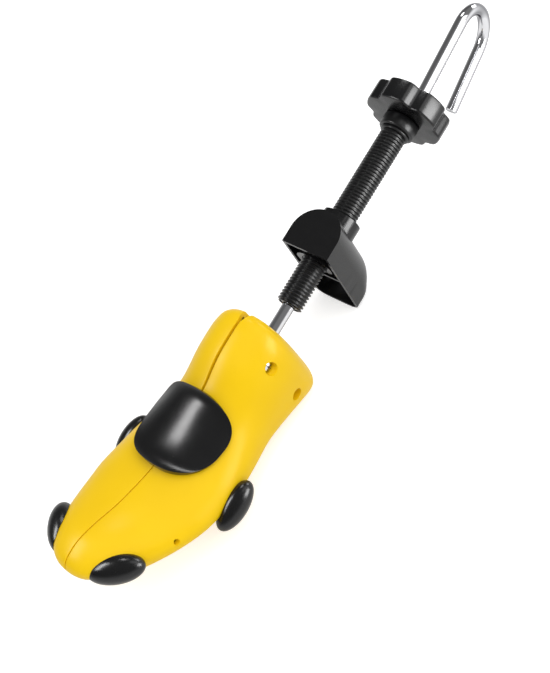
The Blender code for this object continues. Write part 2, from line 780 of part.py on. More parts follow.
def add_pads(word, side, frame):
    up = Vector((math.sin(SOLE_ANGLE), 0.0, math.cos(SOLE_ANGLE)))
    level = Vector((0.0, 0.0, 1.0))
    pads = []
    for name, place, lift in zip(("ball", "toe"), pad_places(side), (level, up)):
        centre, out, half_sizes = place
        along = lift.cross(out).normalized()
        turn = Matrix((along, lift, out)).transposed()
        pad = add_piece(
            f"{name}_pad_{word}", dome(centre, half_sizes, turn), "black_plastic", centre, frame
        )
        cut(pad, grown_last())
        root = centre - out * PAD_PEG_LENGTH
        join(pad, bar(root, centre + out * half_sizes[2] / 2, PAD_PEG_RADIUS))
        pads.append(pad)
    return pads


def add_saddle(frame):
    """The instep saddle: an oval shell that follows the crown of the last, thicker at its front and rear."""
    centre_x = station_x(SADDLE_CENTRE_share)
    top_points = []
    under_points = []
    for i in range(SADDLE_COLUMN_STEPS + 1):
        turn = math.pi / 2 * (2 * i / SADDLE_COLUMN_STEPS - 1)
        y_share = SADDLE_TIP_share * math.sin(turn)
        inside = 1 - abs(y_share) ** SADDLE_SQUARENESS_share
        half = SADDLE_HALF_LENGTH * inside ** (1 / SADDLE_SQUARENESS_share)
        y = SADDLE_HALF_WIDTH * y_share
        top_row = []
        under_row = []
        for j in range(SADDLE_ROW_STEPS + 1):
            along = 2 * j / SADDLE_ROW_STEPS - 1
            x = centre_x + half * along
            foot = Vector((x, y, crown_z(x, y)))
            out = crown_normal(x, y)
            lip = SADDLE_LIP * along**2 * half / SADDLE_HALF_LENGTH
            under_row.append(foot + out * SADDLE_SEAT)
            top_row.append(foot + out * (SADDLE_SEAT + SADDLE_THIN + lip))
        top_points.append(top_row)
        under_points.append(under_row)
    rings = [top + list(reversed(under)) for top, under in zip(top_points, under_points)]
    saddle = add_piece("instep_saddle", loft(rings), "black_plastic", (centre_x, 0.0, 0.0), frame)
    crown = crown_z(centre_x, 0.0)
    ends = (centre_x, 0.0, crown - SADDLE_PEG_DROP), (centre_x, 0.0, crown + SADDLE_THIN / 2)
    join(saddle, bar(*ends, SADDLE_PEG_RADIUS))


# The rod and what turns or slides on it


def screw_places():
    """Where the tube's bead and collar end, the knob's front lies, and its web and the spigot end."""
    bead_end = TUBE_LENGTH + BEAD_LENGTH
    collar_end = bead_end + TUBE_COLLAR_LENGTH
    knob_front = collar_end + SEAT_GAP
    web_end = knob_front + KNOB_WEB
    return bead_end, collar_end, knob_front, web_end, web_end + SPIGOT_END


def rod_clip_place():
    front = screw_places()[-1] + SEAT_GAP
    return front, front + CLIP_THICKNESS


def hook_path():
    """Centre line of the rod and the normals square to it, from the toe end to the tip of the hook."""
    here = Vector((HINGE_X - ROD_TOE_END, 0.0, 0.0))
    heading = 0.0
    path = [here.copy()]
    turns = [heading]

    def straight(length):
        nonlocal here
        here = here + length * Vector((math.cos(heading), 0.0, math.sin(heading)))
        path.append(here.copy())
        turns.append(heading)

    def bend(radius, angle):
        nonlocal here, heading
        steps = max(2, round(abs(angle) / BEND_STEP))
        for _ in range(steps):
            middle = heading + angle / steps / 2
            chord = 2 * radius * math.sin(abs(angle) / steps / 2)
            here = here + chord * Vector((math.cos(middle), 0.0, math.sin(middle)))
            heading += angle / steps
            path.append(here.copy())
            turns.append(heading)

    straight(rod_clip_place()[1] + HOOK_START_MARGIN - here.x)
    bend(CRANK_RADIUS, -CRANK_ANGLE)
    bend(CRANK_RADIUS, CRANK_ANGLE + HOOK_LEAN)
    straight(HOOK_LEG)
    bend(HOOK_BEND_RADIUS, -HOOK_BEND_ANGLE)
    straight(HOOK_TAIL)
    normals = [Vector((-math.sin(turn), 0.0, math.cos(turn))) for turn in turns]
    return path, normals


def add_rod(frame):
    path, normals = hook_path()
    rod = swept(path, normals, Vector((0.0, 1.0, 0.0)), ROD_RADIUS, ROD_SIDES)
    add_piece("hook_rod", rod, "chromed_steel", (0.0, 0.0, 0.0), frame)


def add_rod_fittings(frame):
    bore = ROD_RADIUS + SEAT_GAP
    hub_back = HINGE_X - SPINE_SETBACK
    hub_front = hub_back - HUB_LENGTH
    flange_back = hub_front - SEAT_GAP
    flange_front = flange_back - BUSH_FLANGE
    bush_radius = bore + BUSH_WALL
    bush = [
        (flange_front, bore), (hub_back, bore), (hub_back, bush_radius),
        (flange_back, bush_radius), (flange_back, BUSH_FLANGE_RADIUS), (flange_front, BUSH_FLANGE_RADIUS),
    ]
    add_piece("rod_bush", turned(bush), "brass", (hub_back, 0.0, 0.0), frame)
    washer_back = flange_front - SEAT_GAP
    washer_front = washer_back - WASHER_THICKNESS
    add_ring("thrust_washer", washer_front, washer_back, bore, BUSH_FLANGE_RADIUS, frame)
    collar_back = washer_front - SEAT_GAP
    add_ring("rod_collar_front", collar_back - COLLAR_LENGTH, collar_back, bore, COLLAR_RADIUS, frame)
    collar_front = hub_back + SEAT_GAP
    add_ring("rod_collar_rear", collar_front, collar_front + COLLAR_LENGTH, bore, COLLAR_RADIUS, frame)
    nut_front = HINGE_X - ROD_TOE_END + SEAT_GAP
    add_ring("rod_end_nut", nut_front, nut_front + END_NUT_LENGTH, bore, END_NUT_RADIUS, frame, END_NUT_SIDES)


def add_ring(name, low, high, bore, radius, frame, sides=ROUND_SIDES):
    """A ring on the rod: a washer, a collar, a clip or, with six sides, a nut."""
    ring = lathe_hole(low, high, radius, sides)
    piece = add_piece(name, ring, "zinc_steel", (low, 0.0, 0.0), frame)
    cut(piece, lathe_hole(low - OVERRUN, high + OVERRUN, bore))


def add_crosshead(frame):
    x = HINGE_X - CROSSHEAD_SETBACK
    reach = FOLLOWER_Y + CROSSHEAD_END
    head = add_piece(
        "spreader_crosshead",
        box(
            (x - CROSSHEAD_HALF_DEPTH, -reach, -CROSSHEAD_HALF_HEIGHT),
            (x + CROSSHEAD_HALF_DEPTH, reach, CROSSHEAD_HALF_HEIGHT),
        ),
        "zinc_steel",
        (x, 0.0, 0.0),
        frame,
    )
    bore = ROD_RADIUS + SEAT_GAP
    cut(head, lathe_hole(x - 2 * CROSSHEAD_HALF_DEPTH, x + 2 * CROSSHEAD_HALF_DEPTH, bore))
    tall = CROSSHEAD_HALF_HEIGHT + OVERRUN
    for word, side in (("right", -1), ("left", 1)):
        y = side * FOLLOWER_Y
        cut(head, bar((x, y, -tall), (x, y, tall), FOLLOWER_RADIUS + SEAT_GAP))
        ends = (x, y, -CROSSHEAD_HALF_HEIGHT), (x, y, CROSSHEAD_HALF_HEIGHT + FOLLOWER_RISE)
        pin = bar(*ends, FOLLOWER_RADIUS)
        add_piece("follower_pin_" + word, pin, "chromed_steel", (x, y, 0.0), frame)


def add_length_screw(frame):
    bead_end, collar_end, knob_front, web_end, spigot_end = screw_places()
    counterbore = STOP_RING_RADIUS + RUN_GAP
    ring_front = TUBE_TOE_END + STOP_RING_INSET
    ring_seat = ring_front + STOP_RING_LENGTH + SEAT_GAP
    profile = [
        (TUBE_TOE_END, counterbore), (ring_seat, counterbore), (ring_seat, TUBE_BORE),
        (spigot_end, TUBE_BORE),
        (spigot_end, SPIGOT_RADIUS), (collar_end, SPIGOT_RADIUS), (collar_end, TUBE_COLLAR_RADIUS),
        (bead_end, TUBE_COLLAR_RADIUS), (bead_end, BEAD_RADIUS), (TUBE_LENGTH, BEAD_RADIUS),
        (TUBE_LENGTH, TUBE_RADIUS), (TUBE_TOE_END, TUBE_RADIUS),
    ]
    add_piece("length_tube", turned(profile), "black_plastic", (0.0, 0.0, 0.0), frame)
    add_ring(
        "tube_stop_ring", ring_front, ring_front + STOP_RING_LENGTH,
        ROD_RADIUS + SEAT_GAP, STOP_RING_RADIUS, frame,
    )
    add_knob(knob_front, web_end, frame)
    ring_end = web_end + SEAT_GAP + CLIP_THICKNESS
    add_ring(
        "knob_ring", web_end + SEAT_GAP, ring_end, SPIGOT_RADIUS + SEAT_GAP, KNOB_RING_RADIUS, frame
    )
    add_ring("rod_clip", *rod_clip_place(), ROD_RADIUS + SEAT_GAP, CLIP_RADIUS, frame)


def knob_outline():
    """Points (radius, turn) of the knob's lobed edge, with a lobe on top."""
    centre = KNOB_RADIUS + NOTCH_RADIUS - NOTCH_DEPTH
    cosine = (centre**2 + KNOB_RADIUS**2 - NOTCH_RADIUS**2) / (2 * centre * KNOB_RADIUS)
    half_notch = math.acos(cosine)
    pitch = 2 * math.pi / KNOB_SIDES
    points = []
    for lobe in range(KNOB_SIDES):
        middle = (lobe + 0.5) * pitch
        for k in range(NOTCH_STEPS + 1):
            turn = half_notch * (2 * k / NOTCH_STEPS - 1)
            across = centre * math.sin(turn)
            radius = centre * math.cos(turn) - math.sqrt(max(0.0, NOTCH_RADIUS**2 - across**2))
            points.append((radius, middle + turn))
        for k in range(1, LOBE_STEPS):
            turn = half_notch + (pitch - 2 * half_notch) * k / LOBE_STEPS
            points.append((KNOB_RADIUS, middle + turn))
    return points


def add_knob(front, web_end, frame):
    back = front + KNOB_THICKNESS
    outline = knob_outline()
    rings = []
    for x, inset in (
        (front, KNOB_CHAMFER), (front + KNOB_CHAMFER, 0.0), (back - KNOB_CHAMFER, 0.0),
        (back, KNOB_CHAMFER),
    ):
        rings.append([
            Vector((x, (r - inset) * math.sin(turn), (r - inset) * math.cos(turn))) for r, turn in outline
        ])
    knob = add_piece("length_knob", loft(rings), "black_plastic", (front, 0.0, 0.0), frame)
    cut(knob, lathe_hole(front - OVERRUN, back + OVERRUN, SPIGOT_RADIUS + SEAT_GAP))
    cut(knob, lathe_hole(web_end, back + OVERRUN, KNOB_DISH_RADIUS))


# The heel block


def block_ring(z, inset, front_overrun):
    """The block's horseshoe plan at one level: straight sides and a rounded back, narrowed at the foot."""
    down = (BLOCK_TOP_Z - z) / BLOCK_HEIGHT
    front = BLOCK_FRONT_TOP_X + (BLOCK_FRONT_BOTTOM_X - BLOCK_FRONT_TOP_X) * down - front_overrun
    rise = z - (BLOCK_TOP_Z - BLOCK_HEIGHT)
    back = BLOCK_FRONT_TOP_X + BLOCK_DEPTH - BLOCK_BACK_TAPER * down
    below = max(0.0, 1 - rise / BLOCK_FOOT_ROUND)
    foot = back - BLOCK_FRONT_BOTTOM_X - BLOCK_FOOT_DEPTH
    back -= foot * (1 - math.sqrt(max(0.0, 1 - below**2)))
    aside = max(0.0, 1 - rise / BLOCK_KEEL_DROP)
    half_width = BLOCK_HALF_WIDTH - BLOCK_KEEL_SPREAD * (1 - math.sqrt(max(0.0, 1 - aside**2))) - inset
    back -= inset
    depth = min(half_width, (back - front - front_overrun) * BLOCK_ROUND_share)
    ring = [Vector((front, -half_width, z))]
    for k in range(BLOCK_ARC_STEPS + 1):
        turn = -math.pi / 2 + math.pi * k / BLOCK_ARC_STEPS
        x = back - depth + depth * math.cos(turn)
        ring.append(Vector((x, half_width * math.sin(turn), z)))
    ring.append(Vector((front, half_width, z)))
    return ring


def block_levels(low, high):
    """Levels from one height to another, closer together near the foot, where the back rounds in."""
    foot = BLOCK_TOP_Z - BLOCK_HEIGHT
    levels = []
    for k in range(BLOCK_LEVEL_STEPS + 1):
        share = (k / BLOCK_LEVEL_STEPS) ** 2
        level = foot + BLOCK_HEIGHT * share
        levels.append(min(max(level, low), high))
    return sorted(set(levels) | {low, high})


def add_heel_block(frame):
    foot = BLOCK_TOP_Z - BLOCK_HEIGHT
    rings = [block_ring(z, 0.0, 0.0) for z in block_levels(foot, BLOCK_TOP_Z)]
    block = add_piece("heel_block", loft(rings), "black_plastic", (0.0, 0.0, 0.0), frame)
    rooms = (
        (foot + BLOCK_WALL, BLOCK_SHELF_Z - BLOCK_WALL),
        (BLOCK_SHELF_Z, BLOCK_TOP_Z - BLOCK_WALL),
    )
    for low, high in rooms:
        cut(block, loft([block_ring(z, BLOCK_WALL, OVERRUN) for z in block_levels(low, high)]))
    join(block, lathe_hole(NUT_FRONT_X, NUT_BACK_X, NUT_RADIUS))
    cut(block, lathe_hole(NUT_FRONT_X - OVERRUN, NUT_BACK_X + OVERRUN, TUBE_RADIUS + SEAT_GAP))


# Setting the whole on the ground


def world_points(piece):
    return [piece.matrix_world @ vert.co for vert in piece.data.vertices]


def lowest(piece, frame, tilt):
    frame.rotation_euler = (0.0, -tilt, 0.0)
    bpy.context.view_layer.update()
    return min(point.z for point in world_points(piece))


def settle(frame):
    """Tilts the rod until the last and the heel block are level below, then stands all on the ground."""
    halves = bpy.data.objects["last_half_right"]
    block = bpy.data.objects["heel_block"]
    low, high = 0.0, SOLE_ANGLE
    for _ in range(SETTLE_STEPS):
        tilt = (low + high) / 2
        if lowest(halves, frame, tilt) > lowest(block, frame, tilt):
            low = tilt
        else:
            high = tilt
    points = [p for piece in bpy.data.objects if piece.type == "MESH" for p in world_points(piece)]
    ends = [(min(p[axis] for p in points), max(p[axis] for p in points)) for axis in range(3)]
    frame.location = (-(ends[0][0] + ends[0][1]) / 2, -(ends[1][0] + ends[1][1]) / 2, -ends[2][0])
    bpy.context.view_layer.update()


def build():
    clear_scene()
    frame = bpy.data.objects.new("rod_frame", None)
    bpy.context.collection.objects.link(frame)
    right = [add_half("last_half_right", -1, frame), add_track("cam_track_right", -1, frame)]
    right += add_leaf_screws("right", -1, frame)
    right += add_pads("right", -1, frame)
    for piece in right:
        mirrored(piece, piece.name.replace("right", "left"))
    add_leaf("hinge_leaf_right", -1, 1, frame)
    add_leaf("hinge_leaf_left", 1, 2, frame)
    add_yoke(frame)
    add_hinge_pins(frame)
    add_saddle(frame)
    add_rod(frame)
    add_rod_fittings(frame)
    add_crosshead(frame)
    add_length_screw(frame)
    add_heel_block(frame)
    settle(frame)


build()
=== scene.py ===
"""Looks of the two-way shoe stretcher: fine surfaces, materials, studio and camera.

Pieces are drawn in the rod's frame (x along the rod towards the hook, z up, right half at -y) and are then
moved to the shared frame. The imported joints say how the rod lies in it.
"""

import json
import math

import bmesh
import bpy
from mathutils import Matrix, Vector


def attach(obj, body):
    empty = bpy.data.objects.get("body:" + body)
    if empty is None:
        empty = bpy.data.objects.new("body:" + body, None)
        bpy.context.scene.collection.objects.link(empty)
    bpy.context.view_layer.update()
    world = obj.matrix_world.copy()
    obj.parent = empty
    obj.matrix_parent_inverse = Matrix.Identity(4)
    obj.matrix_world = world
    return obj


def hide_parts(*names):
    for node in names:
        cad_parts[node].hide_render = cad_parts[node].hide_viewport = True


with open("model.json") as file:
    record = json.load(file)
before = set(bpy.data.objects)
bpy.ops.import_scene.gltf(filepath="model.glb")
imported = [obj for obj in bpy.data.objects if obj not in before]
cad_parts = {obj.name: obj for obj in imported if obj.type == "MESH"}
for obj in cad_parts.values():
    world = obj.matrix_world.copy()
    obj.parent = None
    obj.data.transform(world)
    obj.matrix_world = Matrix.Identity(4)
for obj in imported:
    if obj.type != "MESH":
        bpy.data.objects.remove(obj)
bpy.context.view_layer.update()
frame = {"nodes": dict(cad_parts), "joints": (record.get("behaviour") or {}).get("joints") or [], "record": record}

MM = 0.001
SEAT_GAP = 0.3 * MM
RUN_GAP = 0.4 * MM
OVERRUN = 6.0 * MM

# How far either side a curve through keys is averaged, as a share of the last, and in how many steps
EASE_REACH = 0.045
EASE_END_SHARE = 0.8
EASE_STEPS = 4

# The last
LAST_REAR = -25.0 * MM
LAST_RUN = 168.0 * MM
TOE_RISE = 58.0 * MM
BALL_HALF_WIDTH = 41.0 * MM
HEEL_DROP = 42.5 * MM
SOLE_ANGLE = math.radians(24.6)
REAR_REACH = 2.0 * MM
REAR_LEAN = 5.0 * MM
LEAN_ENDS = 0.30
REAR_ROUND = 9.5 * MM
REAR_ROUND_ENDS = 0.06
REAR_EDGE = 0.9 * MM
REAR_EDGE_RINGS = 6
TOE_SPRING = 9.0 * MM
TOE_SPRING_STARTS = 0.86
TOE_BULGE = 5.4 * MM
TOE_BULGE_STARTS = math.radians(35.0)
TOE_BULGE_RINGS = 12
LAST_WALL = 3.0 * MM
SEAM_GAP = 0.3 * MM
SEAM_ROUND = 0.22 * MM
SEAM_ROUND_STEPS = 4
SEAM_SHOULDER = 1.4
SEAM_OPEN = 0.6 * MM
SEAM_OPEN_ENDS = 0.45
SEAM_SHUT = 0.04 * MM
SEAM_SHUT_RUN = 10.0 * MM
TOP = (
    (0.0, 0.56), (0.015, 0.615), (0.03, 0.642), (0.055, 0.655), (0.16, 0.65), (0.30, 0.548),
    (0.45, 0.517), (0.60, 0.578), (0.70, 0.681), (0.76, 0.757), (0.85, 0.917), (0.93, 1.0),
    (0.97, 0.99), (0.99, 0.965), (1.0, 0.94),
)
WIDTH = (
    (0.0, 0.45), (0.015, 0.573), (0.035, 0.66), (0.06, 0.702), (0.12, 0.72), (0.30, 0.756),
    (0.42, 0.878), (0.55, 0.985), (0.66, 1.0), (0.75, 0.927), (0.84, 0.793), (0.91, 0.646),
    (0.96, 0.49), (0.985, 0.385), (1.0, 0.28),
)
WIDEST_LEVEL = ((0.0, 0.42), (0.3, 0.33), (0.6, 0.27), (0.8, 0.30), (1.0, 0.45))
UPPER_SQUARENESS = ((0.0, 2.6), (0.3, 2.15), (0.5, 2.0), (0.75, 1.95), (1.0, 2.2))
LOWER_SQUARENESS = ((0.0, 4.5), (0.5, 3.5), (1.0, 2.6))
CAVITY = (0.02, 0.955)
CAVITY_RINGS = 18
RIBS = (0.477, 0.72)
RIB_THICKNESS = 2.0 * MM
PLUG_HOLE = (0.757, 0.47)
PLUG_HOLE_RADIUS = 1.8 * MM

# The hinge, the screws and the cam tracks
HINGE_X = -31.0 * MM
OPENING = math.radians(15.0)
KNUCKLE_RADIUS = 4.2 * MM
KNUCKLE_HEIGHT = 3.6 * MM
FIRST_KNUCKLE_Z = 8.0 * MM
PIN_END = 0.8 * MM
REAR_OPENING_MARGIN = 1.0 * MM
LEAF_INNER_Y = 10.5 * MM
LEAF_THICKNESS = 3.0 * MM
ARM_HALF_DEPTH = 3.0 * MM
SCREW_PLACES = (("upper", 13.3 * MM, 20.8 * MM), ("lower", 15.7 * MM, -12.7 * MM))
SCREW_RISE = {"upper": 1.6 * MM, "lower": 0.0}
SCREW_SHANK_RADIUS = 1.8 * MM
SCREW_HEAD_RADIUS = 3.4 * MM
SCREW_HEAD_HEIGHT = 2.6 * MM
SCREW_HEAD_FLAT = 0.35
SCREW_HEAD_SIDES = 40
SCREW_HEAD_ROOT = 0.7 * MM
SLOT_DEPTH = 1.7 * MM
SLOT_HALF_LENGTH = 2.0 * MM
SLOT_HALF_WIDTH = 0.42 * MM
SCREW_TIP = 1.5 * MM
SCREW_SEAT = 5.0 * MM
RECESS_RADIUS = 4.0 * MM
BOSS_RADIUS = 6.5 * MM
CROSSHEAD_SETBACK = 29.0 * MM
CROSSHEAD_TRAVEL = 26.25 * MM
CROSSHEAD_HALF_HEIGHT = 6.5 * MM
FOLLOWER_Y = 21.5 * MM
FOLLOWER_RADIUS = 2.5 * MM
TRACK_THICKNESS = 2.8 * MM
TRACK_LIFT = 1.1 * MM
TRACK_WALL = 2.2 * MM
TRACK_OUTER_Y = 27.0 * MM
LEDGE_Y = 25.6 * MM
LEDGE_MARGIN = 3.0 * MM

# Rod and hook
ROD_RADIUS = 4.0 * MM
ROD_SIDES = 36
ROD_TOE_END = 69.5 * MM
ROD_TOE_CHAMFER = (0.5 * MM, 0.7 * MM)
ROD_PITCH = 1.25 * MM
ROD_THREAD_DEPTH = 0.75 * MM
ROD_THREAD_STEPS = 8
ROD_THREAD_END = 20.0 * MM
ROD_THREAD_FADE = 1.0 * MM
RING_STEP = 0.5 * MM
BEND_STEP = 3
HOOK_START_MARGIN = 0.2 * MM
CRANK_RADIUS = 8.0 * MM
CRANK_ANGLE = math.radians(40.0)
HOOK_LEAN = math.radians(7.0)
HOOK_LEG = 49.0 * MM
HOOK_BEND_RADIUS = 19.0 * MM
HOOK_BEND_ANGLE = math.radians(172.0)
HOOK_TAIL = 43.0 * MM
HOOK_CHAMFER = 0.6 * MM

# Saddle and pads
SADDLE_CENTRE = 0.446
SADDLE_HALF_LENGTH = 25.2 * MM
SADDLE_HALF_WIDTH = 26.8 * MM
SADDLE_SQUARENESS = 2.4
SADDLE_SEAT = 0.5 * MM
SADDLE_THIN = 2.6 * MM
SADDLE_LIP = 3.4 * MM
SADDLE_LIP_GATHER = 6
SADDLE_LIP_NARROW = 3
SADDLE_EDGE = 1.3 * MM
SADDLE_TIP = 0.995
SADDLE_PEG_RADIUS = 2.5 * MM
SADDLE_PEG_DROP = 16.0 * MM
BALL_PAD = 0.567
BALL_PAD_LEVEL = 4.0 * MM
BALL_PAD_HALF_SIZES = (16.0 * MM, 8.2 * MM, 7.6 * MM)
BALL_PAD_SINK = -3.0 * MM
TOE_PAD = 0.9204
TOE_PAD_LEVEL = 16.6 * MM
TOE_PAD_HALF_SIZES = (16.0 * MM, 8.4 * MM, 8.2 * MM)
TOE_PAD_OUT = 22.1 * MM
TOE_PAD_TURN = math.radians(45.0)
PAD_PEG_RADIUS = 2.5 * MM
PAD_PEG_LENGTH = 9.0 * MM

# Length screw
TUBE_RADIUS = 8.5 * MM
TUBE_ROOT = 7.45 * MM
TUBE_BORE = 4.5 * MM
TUBE_SIDES = 96
TUBE_PITCH = 2.25 * MM
TUBE_THREAD_STEPS = 12
TUBE_THREAD_RISE = 0.16
TUBE_THREAD_CREST = 0.30
TUBE_THREAD_FADES = (0.6 * MM, 1.5 * MM)
TUBE_TOE_END = -3.2 * MM
TUBE_LENGTH = 122.5 * MM
PARTING_SIDES = (24.0, 204.0)
PARTING_HALF_WIDTH = 1.0
PARTING_FADE = 3.0
PARTING_DIP = 0.2
BEAD_RADIUS = 9.7 * MM
BEAD_LENGTH = 2.0 * MM
BEAD_EDGE = 0.5 * MM
TUBE_COLLAR_RADIUS = 11.8 * MM
TUBE_COLLAR_LENGTH = 8.5 * MM
TUBE_COLLAR_EDGES = (1.2 * MM, 1.0 * MM)
SPIGOT_RADIUS = 7.0 * MM
SPIGOT_END = 3.5 * MM
SPIGOT_EDGE = 0.4 * MM
STOP_RING_RADIUS = 6.2 * MM
STOP_RING_LENGTH = 2.2 * MM
STOP_RING_INSET = 0.6 * MM
CLIP_THICKNESS = 1.2 * MM
KNOB_RADIUS = 25.8 * MM
KNOB_THICKNESS = 14.2 * MM
KNOB_EDGE = 1.3 * MM
KNOB_EDGE_STEPS = 5
KNOB_WEB = 8.5 * MM
KNOB_BORE_EDGE = 0.4 * MM
KNOB_DISH_RADIUS = 13.0 * MM
KNOB_DISH_EDGE = 0.5 * MM
KNOB_FACE_INSETS = (2.0 * MM, 2.5 * MM)
KNOB_LOBES = 6
NOTCH_RADIUS = 8.0 * MM
NOTCH_DEPTH = 3.2 * MM

# Heel block
BLOCK_FRONT_TOP_X = 27.6 * MM
BLOCK_FRONT_BOTTOM_X = 23.7 * MM
BLOCK_DEPTH = 28.0 * MM
BLOCK_HALF_WIDTH = 17.2 * MM
BLOCK_TOP_Z = 18.2 * MM
BLOCK_HEIGHT = 67.7 * MM
BLOCK_WALL = 2.0 * MM
BLOCK_SHELF_Z = -9.5 * MM
BLOCK_BACK_TAPER = 2.5 * MM
BLOCK_FOOT_DEPTH = 10.0 * MM
BLOCK_FOOT_ROUND = 20.0 * MM
BLOCK_KEEL_DROP = 6.0 * MM
BLOCK_KEEL_SPREAD = 11.0 * MM
BLOCK_ROUND = 0.7
BLOCK_EDGE = 0.4 * MM
NUT_RADIUS = 12.5 * MM
NUT_BACK_X = 60.0 * MM
NUT_FRONT_X = 27.0 * MM

# Looks and studio
BLACK = (0.0052, 0.0052, 0.0055)
BLACK_FLOW = (0.0068, 0.0068, 0.0072)
DIFFUSE_SKY = 0.68
FLOOR_SIZE = 4.0
FLOOR_WHITE = 0.86
FLOOR_ROUGHNESS = 0.9
FLOOR_SEEN = 0.5
FLOOR_MIRRORED = 0.15
SENSOR_HEIGHT = 36.0
LENS = 50.0
CAMERA_PLACE = Vector((-92.2, -294.2, 475.1)) * MM
CAMERA_RIGHT = Vector((0.5196, -0.75978, -0.39077))
CAMERA_AHEAD = Vector((0.12188, 0.5186, -0.84629))


def rod_matrix():
    """The rod's frame in the shared frame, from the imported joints."""
    joints = {joint["name"]: joint for joint in frame["joints"]}
    along = Vector(joints["rod_turn"]["axis"]).normalized()
    up = Vector(joints["half_right_swing"]["axis"]).normalized()
    turn = Matrix((along, up.cross(along), up)).transposed()
    matrix = turn.to_4x4()
    matrix.translation = Vector(joints["rod_turn"]["pos_m"]) - turn @ Vector((HINGE_X, 0.0, 0.0))
    return matrix


ROD = rod_matrix()


# Curves


def follow(keys, place):
    """The value at a place on a smooth curve through (place, value) keys, which never overshoots them."""
    places = [key[0] for key in keys]
    values = [key[1] for key in keys]
    rises = [(values[i + 1] - values[i]) / (places[i + 1] - places[i]) for i in range(len(keys) - 1)]
    slopes = [rises[0]]
    for before, after in zip(rises, rises[1:]):
        slopes.append(0.0 if before * after <= 0 else 2 * before * after / (before + after))
    slopes.append(rises[-1])
    place = min(max(place, places[0]), places[-1])
    i = max(k for k in range(len(keys) - 1) if places[k] <= place)
    step = places[i + 1] - places[i]
    t = (place - places[i]) / step
    return (
        (2 * t**3 - 3 * t**2 + 1) * values[i]
        + (t**3 - 2 * t**2 + t) * step * slopes[i]
        + (3 * t**2 - 2 * t**3) * values[i + 1]
        + (t**3 - t**2) * step * slopes[i + 1]
    )


def eased(keys, place):
    """follow(), averaged over a short stretch, so that no kink shows in a reflection."""
    reach = min(EASE_REACH, EASE_END_SHARE * max(place, 0.0), EASE_END_SHARE * max(1 - place, 0.0))
    total = 0.0
    weights = 0.0
    for k in range(-EASE_STEPS, EASE_STEPS + 1):
        weight = 1 - abs(k) / (EASE_STEPS + 1)
        total += weight * follow(keys, place + reach * k / EASE_STEPS)
        weights += weight
    return total / weights


# Mesh helpers


def finished(mesh):
    bmesh.ops.recalc_face_normals(mesh, faces=mesh.faces)
    if mesh.calc_volume(signed=True) < 0:
        bmesh.ops.reverse_faces(mesh, faces=mesh.faces)
    return mesh


def loft(rings, ends=True):
    mesh = bmesh.new()
    rows = [[mesh.verts.new(point) for point in ring] for ring in rings]
    count = len(rows[0])
    pairs = list(zip(rows, rows[1:]))
    if not ends:
        pairs.append((rows[-1], rows[0]))
    for row, following in pairs:
        for i in range(count):
            j = (i + 1) % count
            mesh.faces.new((row[i], row[j], following[j], following[i]))
    if ends:
        mesh.faces.new(rows[0])
        mesh.faces.new(list(reversed(rows[-1])))
    return finished(mesh)


def bar(start, end, radius, sides=32):
    mesh = bmesh.new()
    start = Vector(start)
    end = Vector(end)
    length = (end - start).length
    place = Matrix.Translation((start + end) / 2) @ (end - start).to_track_quat("Z", "Y").to_matrix().to_4x4()
    bmesh.ops.create_cone(
        mesh, cap_ends=True, segments=sides, radius1=radius, radius2=radius, depth=length, matrix=place
    )
    return finished(mesh)


def span(low, high):
    """A box between two corners given in any order."""
    mesh = bmesh.new()
    first = Vector([min(pair) for pair in zip(low, high)])
    last = Vector([max(pair) for pair in zip(low, high)])
    place = Matrix.Translation((first + last) / 2) @ Matrix.Diagonal((*(last - first), 1.0))
    bmesh.ops.create_cube(mesh, size=1, matrix=place)
    return finished(mesh)


def flat(mesh):
    bmesh.ops.triangulate(mesh, faces=mesh.faces)
    return mesh


def solid(name, mesh):
    data = bpy.data.meshes.new(name)
    mesh.to_mesh(data)
    mesh.free()
    made = bpy.data.objects.new(name, data)
    bpy.context.scene.collection.objects.link(made)
    return made


def settle(piece):
    """Applies a piece's modifiers."""
    bpy.context.view_layer.update()
    graph = bpy.context.evaluated_depsgraph_get()
    result = bpy.data.meshes.new_from_object(piece.evaluated_get(graph))
    old = piece.data
    piece.modifiers.clear()
    piece.data = result
    bpy.data.meshes.remove(old)


def combine(piece, mesh, operation):
    """Cuts a mesh out of a piece or joins it on, and leaves nothing else of the mesh behind."""
    tool = solid("tool", flat(mesh))
    tool.hide_render = True
    step = piece.modifiers.new(operation.lower(), "BOOLEAN")
    step.operation = operation
    step.solver = "EXACT"
    step.object = tool
    settle(piece)
    data = tool.data
    bpy.data.objects.remove(tool, do_unlink=True)
    bpy.data.meshes.remove(data)


def cut(piece, mesh):
    combine(piece, mesh, "DIFFERENCE")


def join(piece, mesh):
    combine(piece, mesh, "UNION")


def bevel(piece, width, angle, segments):
    step = piece.modifiers.new("edges", "BEVEL")
    step.width = width
    step.segments = segments
    step.limit_method = "ANGLE"
    step.angle_limit = math.radians(angle)
    step.use_clamp_overlap = True
    step.miter_outer = "MITER_ARC"
    settle(piece)


def mirrored(piece, name):
    mesh = bmesh.new()
    mesh.from_mesh(piece.data)
    for vert in mesh.verts:
        vert.co.y = -vert.co.y
    return solid(name, finished(mesh))


def dress(piece, body, nodes, slot, smooth=32.0, finish=None):
    """Moves a piece to the shared frame, smooths it, gives it its finish and lets it ride on its body."""
    piece.data.transform(ROD)
    piece.data.materials.clear()
    piece.data.materials.append(finish_of(finish or slot))
    piece.data.shade_smooth()
    piece.data.set_sharp_from_angle(angle=math.radians(smooth))
    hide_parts(*nodes)
    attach(piece, body)


# Materials


FINISHES = {}


def finish_of(name):
    """The material of a finish, made once. A finish carries its slot's name, except black_thread."""
    if name not in FINISHES:
        FINISHES[name] = MAKERS[name](name)
    return FINISHES[name]


